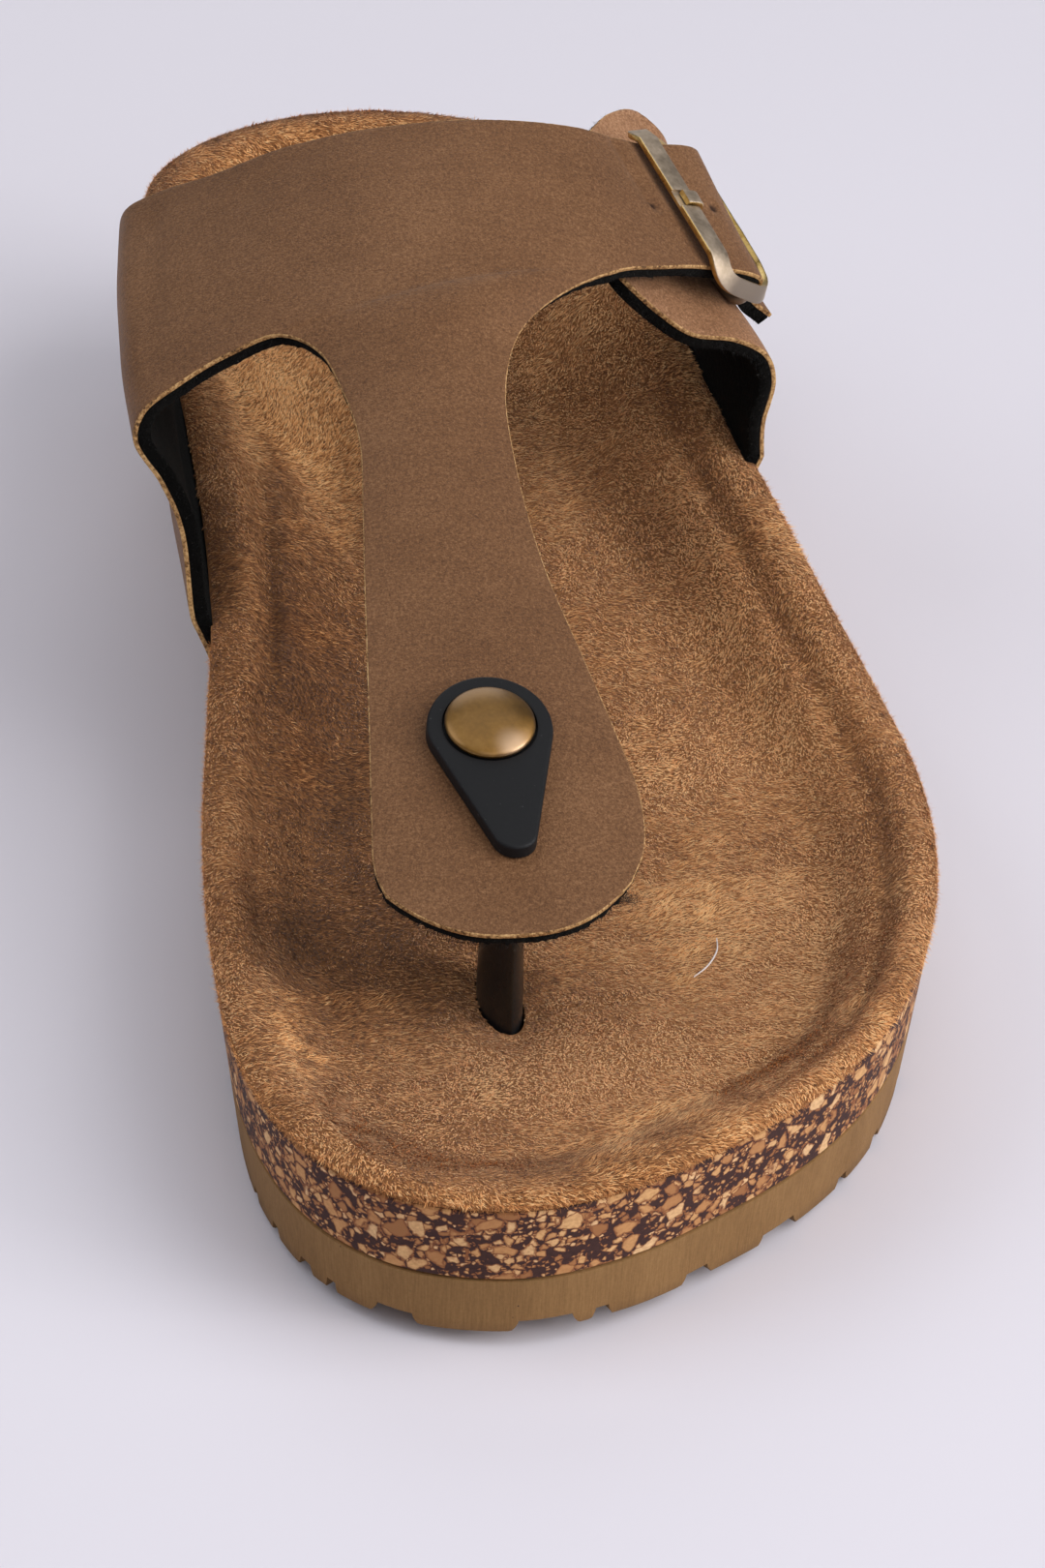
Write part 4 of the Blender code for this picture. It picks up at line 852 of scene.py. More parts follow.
def grid_frame(grid, u, t, per):
    """Point, along, across and outward directions of a strap grid at section u."""
    i = u * per
    j = t * (grid.shape[1] - 1)

    def at(i, j):
        i = min(max(i, 0), grid.shape[0] - 1.0001)
        j = min(max(j, 0), grid.shape[1] - 1.0001)
        a, b = int(i), int(j)
        x, y = i - a, j - b
        return ((grid[a, b] * (1 - x) + grid[a + 1, b] * x) * (1 - y)
                + (grid[a, b + 1] * (1 - x) + grid[a + 1, b + 1] * x) * y)

    p = at(i, j)
    along = unit(at(i + 0.5, j) - at(i - 0.5, j))
    across = unit(at(i, j + 0.4) - at(i, j - 0.4))
    return p, along, across, unit(np.cross(along, across))


BAND_PLAIN = band_grid()
FIRST = BAND_PLAIN[I0 * PER:I1 * PER + 1, 0]
TONGUE_PLAIN = tongue_grid(FIRST)

# soft creases pressed into the band: section and place across at both ends, depth, half width
FOLDS = (
    (15.05, 1.0, 15.35, 0.45, 0.42, 1.1),
    (15.45, 1.0, 15.75, 0.30, -0.22, 1.3),
    (7.4, 0.1, 7.9, 0.95, 0.30, 2.2),
    (4.3, 0.15, 4.6, 0.85, 0.35, 1.8),
    (9.2, 0.75, 10.6, 0.98, 0.16, 2.6),
)


def dress_band(grid):
    """Adds the creases, the spare holes' puckers and a slight unevenness to the band."""
    out = grid.copy()
    gi = np.gradient(grid, axis=0)
    gj = np.gradient(grid, axis=1)
    n = units(np.cross(gi, gj))
    for u0, t0, u1, t1, deep, wide in FOLDS:
        a = grid_frame(grid, u0, t0, PER)[0]
        b = grid_frame(grid, u1, t1, PER)[0]
        ab = b - a
        k = np.clip(((grid - a) @ ab) / (ab @ ab), 0, 1)
        d = np.linalg.norm(grid - a - k[..., None] * ab, axis=-1)
        fade = np.minimum(1.0, 6 * k * (1 - k) + 0.35)
        out -= n * (deep * fade * np.exp(-(d / wide) ** 2))[..., None]
    for u, t in HOLES:
        p, along, across, _ = grid_frame(grid, u, t, PER)
        d = grid - p
        a, b = d @ along, d @ across
        r = np.sqrt((a / 0.55) ** 2 + (b / 0.95) ** 2)
        near = np.linalg.norm(d, axis=-1) < 6
        out -= n * (near * (0.65 * np.exp(-r ** 2) - 0.16 * np.exp(-((r - 2.2) / 0.9) ** 2)))[..., None]
    wob = 0.09 * waves(21, 17.0)(grid[..., 0] + 0.6 * grid[..., 2], grid[..., 1])
    fade = smooth01(np.arange(grid.shape[0]) / (3.5 * PER))[:, None]
    return out + n * (wob * fade)[..., None]


BAND_FINE = dress_band(BAND_PLAIN)
TONGUE_FINE = TONGUE_PLAIN + 0.0
TONGUE_FINE[0] = BAND_FINE[I0 * PER:I1 * PER + 1, 0]
OUTER_FINE = outer_grid()


class Sheet:
    """A strap's face as one merged mesh with its normals and its border."""

    def __init__(self, grids, flip):
        bm = bmesh.new()
        for grid in grids:
            vs = [[bm.verts.new(p) for p in row] for row in grid.tolist()]
            for a, b in zip(vs[:-1], vs[1:]):
                for i in range(len(a) - 1):
                    quad = (a[i], b[i], b[i + 1], a[i + 1])
                    bm.faces.new(tuple(reversed(quad)) if flip else quad)
        bmesh.ops.remove_doubles(bm, verts=bm.verts, dist=1e-3)
        bm.normal_update()
        bm.verts.index_update()
        self.v = np.array([v.co for v in bm.verts])
        self.n = np.array([v.normal for v in bm.verts])
        self.faces = [[v.index for v in f.verts] for f in bm.faces]
        out = {}
        self.border = []
        for e in bm.edges:
            if not e.is_boundary:
                continue
            loop = e.link_loops[0]
            a, b = loop.vert.index, loop.link_loop_next.vert.index
            self.border.append((a, b))
            d = np.cross(self.v[b] - self.v[a], np.array(loop.face.normal))
            for i in (a, b):
                out[i] = out.get(i, 0) + unit(d)
        self.out = {i: unit(d) for i, d in out.items()}
        bm.free()

    def shell(self, name, profile, mats, rough=0.0, seed=3, thin=0.0):
        """Closed shell; profile lists how far out and how deep its edge runs, from the face down."""
        r = np.random.default_rng(seed)
        n = len(self.v)
        rim = sorted(self.out)
        where = {i: k for k, i in enumerate(rim)}
        o = np.array([self.out[i] for i in rim])
        edge_v, edge_n = self.v[rim], self.n[rim]
        first = profile[0][1]
        slim = 1.0 - thin * smooth01((-18.0 - self.v[:, 1]) / 30.0)     # thinner towards the toe
        top = self.v - self.n * first
        low = self.v - self.n * (first + (profile[-1][1] - first) * slim)[:, None]
        top[rim] += o * profile[0][0]
        low[rim] += o * profile[-1][0]
        loops = []
        for a, d in profile[1:-1]:
            jig = r.normal(0, rough, len(rim))
            loops.append(edge_v + o * (a + jig)[:, None] - edge_n * (first + (d - first) * slim[rim])[:, None])
        verts = np.vstack([top, low] + loops)
        faces = [list(f) for f in self.faces] + [[n + i for i in reversed(f)] for f in self.faces]
        index = [0] * (2 * len(self.faces))
        chain = [lambda i: i] + [lambda i, k=k: 2 * n + k * len(rim) + where[i] for k in range(len(loops))] + [lambda i: n + i]
        for a, b in self.border:
            for f, g in zip(chain[:-1], chain[1:]):
                faces.append([f(b), f(a), g(a), g(b)])
                index.append(1)
        return mesh_object(name, verts, faces, mats, index, angle=50)

    def along_border(self, r, count, deep):
        """Random places on the edge: point, outward direction and normal."""
        e = np.array(self.border)
        size = np.linalg.norm(self.v[e[:, 0]] - self.v[e[:, 1]], axis=1)
        k = r.choice(len(e), count, p=size / size.sum())
        w = r.uniform(0, 1, count)[:, None]
        a, b = e[k, 0], e[k, 1]
        outs = np.array([self.out.get(i, np.zeros(3)) for i in range(len(self.v))])
        p = self.v[a] * (1 - w) + self.v[b] * w
        o = units(outs[a] * (1 - w) + outs[b] * w)
        n = units(self.n[a] * (1 - w) + self.n[b] * w)
        d = r.uniform(*deep, count)[:, None]
        return p - n * d, o, n


T_SHEET = Sheet([BAND_FINE, np.transpose(TONGUE_FINE[::-1], (1, 0, 2))], False)
O_SHEET = Sheet([OUTER_FINE], True)

# ------------------------------------------------------------------ paints
HOLE_AT = [tuple(world(grid_frame(BAND_FINE, u, t, PER)[0])) for u, t in HOLES]
SUEDE = suede_paint()
NAP = hair_paint("suede_nap", (0.0, (0.120, 0.043, 0.014)), (0.30, (0.415, 0.162, 0.052)), (0.60, (0.800, 0.388, 0.140)), (1.0, (0.970, 0.625, 0.300)))
FUZZ = hair_paint("felt_fuzz", (0.0, (0.002, 0.002, 0.002)), (0.7, (0.008, 0.0075, 0.007)), (1.0, (0.22, 0.21, 0.19)))
CORK = cork_paint()
FOAM = foam_paint()
LEATHER = leather_paint("brown_leather", HOLE_AT)
# the outer strap's copy of the same leather, painted about twice as light: painted light
LIT_LEATHER_COPY = leather_paint("brown_leather_outer_lit", (), (1.84, 2.0, 2.38))
CUT_EDGE = cut_edge_paint()
FELT = felt_paint()
RUBBER = rubber_paint("black_rubber", 0.21, 0.44, 0.58)
STEM = rubber_paint("smooth_rubber", 0.4, 0.26, 0.36)
BRIGHT = brass_paint("aged_brass_worn", (0.42, 0.27, 0.08), (0.66, 0.46, 0.16), (0.85, 0.66, 0.30), 0.30, 0.06)

# ------------------------------------------------------------------ straps
lea = [(-0.16, 0.0), (-0.05, 0.05), (0.0, 0.16), (0.0, LEATHER_THICK - 0.12), (-0.05, LEATHER_THICK)]
fel = [(-0.22, LEATHER_THICK + 0.02), (-0.06, LEATHER_THICK + 0.18), (0.0, 1.4), (-0.08, WALL - 0.22), (-0.28, WALL)]
for tag, s, skin in (("band", T_SHEET, LEATHER), ("strap", O_SHEET, LIT_LEATHER_COPY)):
    piece(s.shell(tag + "_leather", lea, [skin, CUT_EDGE], 0.02, 3), "upper")
    piece(s.shell(tag + "_felt", fel, [FELT, FELT], 0.10, 4, 0.35), "upper")


def felt_fuzz():
    r = np.random.default_rng(31)
    parts = []
    for s, count in ((T_SHEET, 9500), (O_SHEET, 5200)):
        p, o, n = s.along_border(r, count, (LEATHER_THICK + 0.05, WALL))
        along = units(o * r.uniform(0.3, 1.0, (count, 1)) - n * r.uniform(-0.15, 0.6, (count, 1)) + r.normal(0, 0.45, (count, 3)))
        length = r.gamma(3.0, 0.13, count) + 0.12
        parts.append((p - o * 0.25, along, n, length))
    p, along, n, length = (np.concatenate(x) for x in zip(*parts))
    tone = np.where(r.uniform(0, 1, len(p)) < 0.012, 0.95, r.uniform(0.1, 0.75, len(p)))
    return fibres("felt_edge_fuzz", p, along, n, length, r.uniform(0.05, 0.11, len(p)), tone, FUZZ)


piece(felt_fuzz())

# ------------------------------------------------------------------ sole pieces
GRADED = np.r_[np.linspace(18, 12, 7)[:-1], np.linspace(12, 3.4, 22)[:-1], np.linspace(3.4, 0.0, 9)]


def cover():
    rings = []

    def height_at(q, depth):
        return cover_height(q[:, 0], q[:, 1], depth)

    y0 = POINTS[:, 1]
    wall = bed_height(y0, 0.0)
    inset = lean(y0, wall, SIDE_OF)
    deepest = REACH - inset
    for f in np.linspace(0.965, 0.0, 15)[:-1]:
        depth = 18.0 + (deepest - 18.0) * f
        q = POINTS + INWARD * (depth + inset)[:, None]
        rings.append(np.column_stack([q, height_at(q, depth)]))
    for depth in GRADED:
        q = POINTS + INWARD * (depth + inset)[:, None]
        rings.append(np.column_stack([q, height_at(q, np.full(len(q), depth))]))
    for depth in (0.0, 1.2, 3.0, 6.0, 10.0, 14.0, 18.0):
        q = POINTS + INWARD * (depth + inset)[:, None]
        rings.append(np.column_stack([q, insole_under(q[:, 1], depth)]))
    mid = np.column_stack([SPINE, cover_height(SPINE[:, 0], SPINE[:, 1], np.full(len(SPINE), 40.0))])
    low = np.column_stack([SPINE, insole_under(SPINE[:, 1], 40.0)])
    return sole_mesh("insole_cover", rings, mid, low, [SUEDE])


def cork_block():
    rings = [ring(d, lambda y, dd: insole_under(y, dd) - GAP) for d in (18.0, 13.0, 9.0, 5.5, 2.6, 0.8, 0.25)]
    top = insole_under(POINTS[:, 1], 0.0) - GAP
    low = side_table("joint", POINTS[:, 1]) + GAP / 2
    for k in (0.03, 0.12, 0.3, 0.5, 0.7, 0.88, 0.985):
        z = top + (low - top) * k
        q = POINTS + INWARD * lean(POINTS[:, 1], z, SIDE_OF)[:, None]
        rings.append(np.column_stack([q, z]))
    for d in (0.2, 14.0):
        rings.append(ring(d, lambda y, dd: side_table("joint", y) + GAP / 2))
    mid = np.column_stack([SPINE, insole_under(SPINE[:, 1], 40.0) - GAP])
    bottom = np.column_stack([SPINE, side_table("joint", SPINE[:, 1]) + GAP / 2])
    return sole_mesh("cork_midsole", rings, mid, bottom, [CORK])


def foam_block():
    top = side_table("joint", POINTS[:, 1]) - GAP / 2
    low = side_table("ground", POINTS[:, 1])
    rings = [ring(d, lambda y, dd: side_table("joint", y) - GAP / 2) for d in (14.0, 0.25)]
    for k in (0.02, 0.25, 0.5, 0.75, 0.96):
        z = top + (low - top) * k
        q = POINTS + INWARD * lean(POINTS[:, 1], z, SIDE_OF)[:, None]
        rings.append(np.column_stack([q, z]))
    for d in (0.35, 6.0, 16.0):
        rings.append(ring(d, lambda y, dd: side_table("ground", y)))
    mid = np.column_stack([SPINE, side_table("joint", SPINE[:, 1]) - GAP / 2])
    bottom = np.column_stack([SPINE, side_table("ground", SPINE[:, 1])])
    return sole_mesh("foam_outsole", rings, mid, bottom, [FOAM])


def prisms(name, pairs):
    """Closed solids between matching rings, as one mesh for cutting."""
    verts, faces = [], []
    for rings in pairs:
        m = len(rings[0])
        base = len(verts)
        for r in rings:
            verts += [tuple(p) for p in r]
        for k in range(len(rings) - 1):
            a, b = base + k * m, base + (k + 1) * m
            faces += [(a + i, a + (i + 1) % m, b + (i + 1) % m, b + i) for i in range(m)]
        faces.append(tuple(base + i for i in reversed(range(m))))
        faces.append(tuple(base + (len(rings) - 1) * m + i for i in range(m)))
    ob = mesh_object(name, np.array(verts), faces, [], smooth=False, hidden=True)
    bm = bmesh.new()
    bm.from_mesh(ob.data)
    bmesh.ops.recalc_face_normals(bm, faces=bm.faces)
    bm.to_mesh(ob.data)
    bm.free()
    return ob


def notch_cutters():
    loop = np.vstack([EDGE, EDGE[:1]])
    d = np.r_[0, np.cumsum(np.linalg.norm(np.diff(loop, axis=0), axis=1))]
    places = [(d[TOE_AT] + a, half) for a, half in FRONT_NOTCHES]
    at, k = 4.0, 0
    while at < d[-1] - 6.0:
        if not FRONT_RANGE[0] < at - d[TOE_AT] < FRONT_RANGE[1]:
            places.append((at, NOTCH_HALF))
        at += NOTCH_PITCH[k % 2]
        k += 1
    pairs = []
    for at, half in places:
        p = np.array([np.interp(at, d, loop[:, c]) for c in (0, 1)])
        q = np.array([np.interp(at + 0.5, d, loop[:, c]) for c in (0, 1)])
        along = unit(q - p)
        inward = np.array([-along[1], along[0]])
        ground = float(side_table("ground", p[1]))
        flat = half - 0.45 * NOTCH_HALF * min(1.0, half / NOTCH_HALF)
        slope = [(half, 0.0)] + [(flat + (half - flat) * (1 - math.sin(a)), NOTCH_DEPTH * (1 - math.cos(a)) * 0.5 + NOTCH_DEPTH * 0.5 * math.sin(a))
                                 for a in np.linspace(0.3, math.pi / 2, 5)]
        profile = [(-half - 0.6, -3.0), (half + 0.6, -3.0)] + slope + [(-a, h) for a, h in reversed(slope)]
        rings = []
        for reach in (-4.0, NOTCH_REACH + 0.8 * float(taper(p[1], 0.0))):
            base = p + inward * reach
            rings.append([(*(base + along * a), ground + h) for a, h in profile])
        pairs.append(rings)
    return prisms("edge_notches", pairs)


def groove_cutters():
    half, high = CHEVRON
    y = Y_HEEL - 16.0
    pairs = []
    while y > Y_HEEL - 240.0:
        m, l = side_x(y, -1) + 13.0, side_x(y, 1) - 13.0
        xs = np.arange(m, l + 0.1, (l - m) / max(2, round((l - m) / half)))
        z1 = float(side_table("ground", y)) + GROOVE_DEPTH
        w = GROOVE_HALF
        pairs.append([[(x, yy - w, -3.0), (x, yy + w, -3.0), (x, yy + 0.8 * w, z1), (x, yy - 0.8 * w, z1)]
                      for x, yy in [(x, y + high * (k % 2)) for k, x in enumerate(xs)]])
        y -= GROOVE_PITCH
    return prisms("bottom_grooves", pairs)


def recess(name, grid_of, rows, side):
    """Room for a strap's lower end in the sole's side."""
    grid = grid_of(3, 12, -0.008, 1.008)[:rows * 3 + 1]
    grid = np.concatenate([(grid[0] + (grid[0] - grid[1]) * 1.6)[None], grid])
    n = np.array([side, 0.0, 0.0])
    inner, outer = grid - n * (WALL + GAP), grid + n * 2.0
    a, b, c = grid.shape[0], grid.shape[1], 0
    verts = np.vstack([inner.reshape(-1, 3), outer.reshape(-1, 3)])
    half = a * b
    faces = []
    for i in range(a - 1):
        for j in range(b - 1):
            q = (i * b + j, (i + 1) * b + j, (i + 1) * b + j + 1, i * b + j + 1)
            faces.append(q)
            faces.append(tuple(half + v for v in reversed(q)))
    rim = [j for j in range(b)] + [i * b + b - 1 for i in range(1, a)] + [(a - 1) * b + j for j in range(b - 2, -1, -1)] + [i * b for i in range(a - 2, 0, -1)]
    for p, q in zip(rim, rim[1:] + rim[:1]):
        faces.append((p, q, half + q, half + p))
    ob = mesh_object(name, verts, faces, [], smooth=False, hidden=True)
    bm = bmesh.new()
    bm.from_mesh(ob.data)
    bmesh.ops.recalc_face_normals(bm, faces=bm.faces)
    bm.to_mesh(ob.data)
    bm.free()
    return ob


def oval(z, wide, long, tilt, n=40, point=1.0):
    """One ring of the post: an upright oval, turned a little outwards, its ends pointed if wanted."""
    c, s = math.cos(POST_TURN), math.sin(POST_TURN)
    a = 2 * math.pi * np.arange(n) / n
    x, y = wide * np.sign(np.cos(a)) * np.abs(np.cos(a)) ** point, long * np.sin(a)
    q = np.stack([c * x - s * y, s * x + c * y], 1)
    return np.column_stack([POST_CENTRE[0] + q[:, 0], POST_CENTRE[1] + q[:, 1], z + tilt * q[:, 1]])


insole, cork, foam = cover(), cork_block(), foam_block()
slit = prisms("post_slit", [[oval(z, 2.6 + 0.25, 7.0 + 0.25, 0.0) for z in (POST[0][0] - 0.4, 30.0)]])
in_recess = recess("inner_recess", band_grid, 4, -1)
out_recess = recess("outer_recess", outer_grid, 4, 1)
for ob in (insole, cork):
    for c in (slit, in_recess, out_recess):
        cut(ob, c)
notches, grooves = notch_cutters(), groove_cutters()
cut(foam, notches, True)
cut(foam, grooves)
for ob in (insole, cork, foam):
    bake(ob)
drop(slit, in_recess, out_recess, notches, grooves)
piece(insole, "insole")
piece(cork, "midsole")
piece(foam, "outsole")


# ------------------------------------------------------------------ nap
# patches of painted light and shade on the nap: place, reach along x and y, lighter or darker
LIGHT_AND_SHADE_PATCHES = (
    (-19.0, 56.0, 17.0, 26.0, 0.08),
    (-23.0, -14.0, 13.0, 34.0, -0.66),
    (-27.0, -66.0, 13.0, 20.0, -0.34),
    (-12.0, -76.0, 12.0, 7.0, -0.10),
    (27.0, -28.0, 18.0, 30.0, 0.05),
    (11.0, -62.0, 9.0, 6.0, -0.14),
    (8.0, -99.0, 9.0, 5.0, -0.10),
    (-27.0, -95.0, 8.0, 6.0, -0.12),
    (33.0, -64.0, 6.0, 9.0, 0.08),
    (2.0, -96.0, 26.0, 11.0, 0.36),
    (-8.0, -118.0, 26.0, 6.0, -0.20),
    (24.0, -70.0, 18.0, 20.0, 0.29),
    (-8.0, 104.0, 34.0, 18.0, -0.30),
)


def edge_depth(x, y):
    """How far in from the cover's edge each place lies."""
    y0 = POINTS[:, 1]
    q = POINTS + INWARD * lean(y0, bed_height(y0, 0.0), SIDE_OF)[:, None]
    tree = KDTree(len(q))
    for i, (a, b) in enumerate(q.tolist()):
        tree.insert((a, b, 0.0), i)
    tree.balance()
    return np.array([tree.find((a, b, 0.0))[2] for a, b in zip(x.tolist(), y.tolist())])


def nap(name, count, seed):
    """Hairs of the napped cover: they lie in swirled patches, as brushed by use."""
    me = insole.data
    me.calc_loop_triangles()
    tri = np.zeros(len(me.loop_triangles) * 3, np.int32)
    me.loop_triangles.foreach_get("vertices", tri)
    tri = tri.reshape(-1, 3)
    co = np.zeros(len(me.vertices) * 3, np.float32)
    me.vertices.foreach_get("co", co)
    co = co.reshape(-1, 3).astype(float) / MM + np.array([SHIFT_X, SHIFT_Y, 0.0])
    a, b, c = co[tri[:, 0]], co[tri[:, 1]], co[tri[:, 2]]
    cr = np.cross(b - a, c - a)
    area = np.linalg.norm(cr, axis=1) / 2
    n = units(cr)
    area = np.where(n[:, 2] > 0.25, area, 0.0)
    r = np.random.default_rng(seed)
    k = r.choice(len(tri), count, p=area / area.sum())
    u, v = r.uniform(0, 1, (2, count))
    flip = u + v > 1
    u, v = np.where(flip, 1 - u, u), np.where(flip, 1 - v, v)
    p = a[k] + (b - a)[k] * u[:, None] + (c - a)[k] * v[:, None]
    up = n[k]
    x, y = p[:, 0], p[:, 1]
    turn = -1.2 + 0.8 * waves(41, 46.0)(x, y) + 0.4 * waves(42, 17.0)(x, y) + 0.45 * waves(43, 6.0)(x, y)
    swept_back = np.exp(-((x + 18.0) / 15.0) ** 2 - ((y - 54.0) / 20.0) ** 2)
    turn = turn + (2.5 - turn) * 0.85 * swept_back + r.normal(0, 0.30, count)
    flat = np.stack([np.cos(turn), np.sin(turn), np.zeros(count)], 1)
    flat = units(flat - up * (flat * up).sum(1)[:, None])
    rise = np.radians(r.normal(17, 8, count).clip(3, 50))
    along = flat * np.cos(rise)[:, None] + up * np.sin(rise)[:, None]
    tone = 0.62 + 0.07 * waves(51, 30.0)(x, y) + 0.07 * waves(52, 9.0)(x, y) + 0.06 * waves(53, 3.4)(x, y) + r.normal(0, 0.26, count)
    # painted light on the hairs over the pressed ridge at the toe and over the swelling beside the groove; painted
    # shade on the hairs in the groove
    tone += 0.20 * ridge(x, y, 0.9) + 0.16 * ridge(x + 3.0, y, 2.6, GROOVE_FINE) - 0.18 * ridge(x - 1.2, y, 2.2, GROOVE_FINE)
    deep = edge_depth(x, y)
    # along the outer side: painted shade on the hairs in the crease inside the rim, painted light on the slope further
    # in and at the edge
    outer = smooth01(x / 10.0 + 0.2) * smooth01((52.0 - y) / 14.0) * smooth01((y + 84.0) / 18.0)
    tone += outer * (0.12 * np.exp(-((deep - 11.8) / 2.4) ** 2) - 0.14 * np.exp(-((deep - 6.8) / 2.0) ** 2) + 0.08 * np.exp(-(deep / 2.6) ** 2))
    # painted light: a lighter band about nine mm in from the edge round the toe, on the rim's inner slope which faces
    # away from the lamps
    tone += 0.16 * smooth01((-94.0 - y) / 8.0) * np.exp(-((deep - 9.0) / 2.6) ** 2)
    # painted light and shade, patch by patch
    for px, py, rx, ry, shift in LIGHT_AND_SHADE_PATCHES:
        tone += shift * np.exp(-((x - px) / rx) ** 2 - ((y - py) / ry) ** 2)
    length = r.gamma(14.0, 0.064, count).clip(0.4, 1.5)
    return fibres(name, p - up * 0.05, along, up, length, r.uniform(0.17, 0.29, count), tone.clip(0.02, 1.0), NAP)


piece(nap("insole_nap_long", 180000, 17))
piece(nap("insole_nap_short", 180000, 18))


def edge_fuzz():
    """Loose hairs on the trimmed edge of the cover."""
    r = np.random.default_rng(23)
    count = 24000
    y0 = POINTS[:, 1]
    inset = lean(y0, bed_height(y0, 0.0), SIDE_OF)
    q = POINTS + INWARD * inset[:, None]
    top = cover_height(q[:, 0], q[:, 1], np.zeros(len(q)))
    low = insole_under(q[:, 1], 0.0)
    i = r.integers(0, len(q), count)
    j = (i + 1) % len(q)
    w = r.uniform(0, 1, count)
    base = q[i] * (1 - w)[:, None] + q[j] * w[:, None]
    hi, lo = top[i] * (1 - w) + top[j] * w, low[i] * (1 - w) + low[j] * w
    z = lo + (hi - lo) * r.uniform(0, 1, count) ** 0.6
    out = np.column_stack([-INWARD[i], np.zeros(count)])
    grip = np.column_stack([base + INWARD[i] * 0.12, z])
    tang = np.column_stack([-INWARD[i][:, 1], INWARD[i][:, 0], np.zeros(count)])
    along = units(out * r.uniform(0.15, 0.8, (count, 1)) + tang * r.normal(0, 0.6, (count, 1)) + np.array([0, 0, 1.0]) * r.normal(-0.05, 0.55, (count, 1)))
    inside_strap = ((grip[:, 0] < 0) & (grip[:, 1] > -4) & (grip[:, 1] < 59)) | ((grip[:, 0] > 0) & (grip[:, 1] > 25) & (grip[:, 1] < 71))
    keep = ~inside_strap
    # hairs painted darker lower down the edge: painted shade towards the gap over the cork
    tone = (0.22 + 0.35 * (z - lo) / np.maximum(hi - lo, 0.1) + r.normal(0, 0.14, count)).clip(0, 0.9)
    return fibres("insole_edge_fuzz", grip[keep], along[keep], out[keep] * 0.3 + np.array([0, 0, 1.0]), (r.gamma(5, 0.09, count) + 0.15)[keep],
                  r.uniform(0.07, 0.14, count)[keep], tone[keep], NAP)


piece(edge_fuzz())


# ------------------------------------------------------------------ buckle
COARSE = band_grid(3, 6)
U_IN, U_OUT = row_of(BAND, "inner_bar"), row_of(BAND, "outer_bar")
P_IN, P_OUT = (grid_frame(COARSE, u, 0.5, 3)[0] for u in (U_IN, U_OUT))
E_L = unit(BAND_F[U_IN] - BAND_R[U_IN] + BAND_F[U_OUT] - BAND_R[U_OUT])   # along the bars, to the toe
LIFT = unit(np.cross(E_L, P_OUT - P_IN))
BAR_IN, BAR_OUT = P_IN + LIFT * BAR_LIFT, P_OUT + LIFT * FAR_LIFT
E_W = BAR_OUT - BAR_IN
E_W = unit(E_W - E_L * E_W.dot(E_L))                       # across the buckle, outwards
E_N = np.cross(E_L, E_W)                                   # off the strap
FRAME_O = (BAR_IN + BAR_OUT) / 2
HALF_W = (BAR_OUT - BAR_IN).dot(E_W) / 2


def on_frame(l, w, h):
    return FRAME_O + E_L * l + E_W * w + E_N * h


FRONT_END = tuple(world(on_frame(FRAME_FRONT + 0.5, 0.0, -DIP_FRONT)))
# painted shade: the flat brass is tinted darker round the frame's front end
BRASS = brass_paint("aged_brass_flat", (0.36, 0.285, 0.205), (0.50, 0.405, 0.305), (0.62, 0.520, 0.410), 0.52, 0.08,
                    retinted=((*FRONT_END, 0.004, 0.0075, 0.85, (0.250, 0.203, 0.153)),))


def on_bar(l, w, h):
    c, s = math.cos(BAR_TILT), math.sin(BAR_TILT)
    return on_frame(PIN_L + l, -HALF_W + w * c - h * s, w * s + h * c)


def frame_path(steps=14, straight=10):
    """Middle line of the frame, and how far each point is on to a short end."""
    path = []
    for sl, sw in ((1, 1), (1, -1), (-1, -1), (-1, 1)):
        r = min(2 * HALF_W - CORNER - 1.8, 7.0) if sw > 0 and sl > 0 else CORNER + (1.6 if sl > 0 else 0.0)
        turn = [k / steps * math.pi / 2 for k in range(steps + 1)]
        if sl * sw < 0:
            turn = turn[::-1]
        for a in turn:
            w = sw * (HALF_W - r + r * math.cos(a))
            end = FRAME_REAR if sl < 0 else FRAME_FRONT - (FRAME_SKEW + 0.6) * (w + HALF_W) / (2 * HALF_W)
            back = r * (1 - math.sin(a))
            path.append((sl * (end - back), w, float(smooth01(1 - back / (1.5 * DIP_SPAN)))))
    full = []
    for k, p in enumerate(path):
        q = path[(k + 1) % len(path)]
        full.append(p)
        if math.hypot(q[0] - p[0], q[1] - p[1]) > 2.0:
            full += [tuple(np.array(p) + (np.array(q) - np.array(p)) * m / straight) for m in range(1, straight)]
    return full


def rounded(wide, thick, corner, steps=3):
    """Section of a flat bar with rounded corners, and which of its faces are the narrow sides."""
    a, b = wide / 2 - corner, thick / 2 - corner
    pts = []
    for cx, cy, start in ((a, b, 0.0), (-a, b, 0.5), (-a, -b, 1.0), (a, -b, 1.5)):
        for k in range(steps + 1):
            t = (start + 0.5 * k / steps) * math.pi
            pts.append((cx + corner * math.cos(t), cy + corner * math.sin(t)))
    side = []
    for k in range(len(pts)):
        p, q = pts[k], pts[(k + 1) % len(pts)]
        side.append(1 if abs(q[1] - p[1]) > 2.0 * abs(q[0] - p[0]) else 0)
    return pts, side


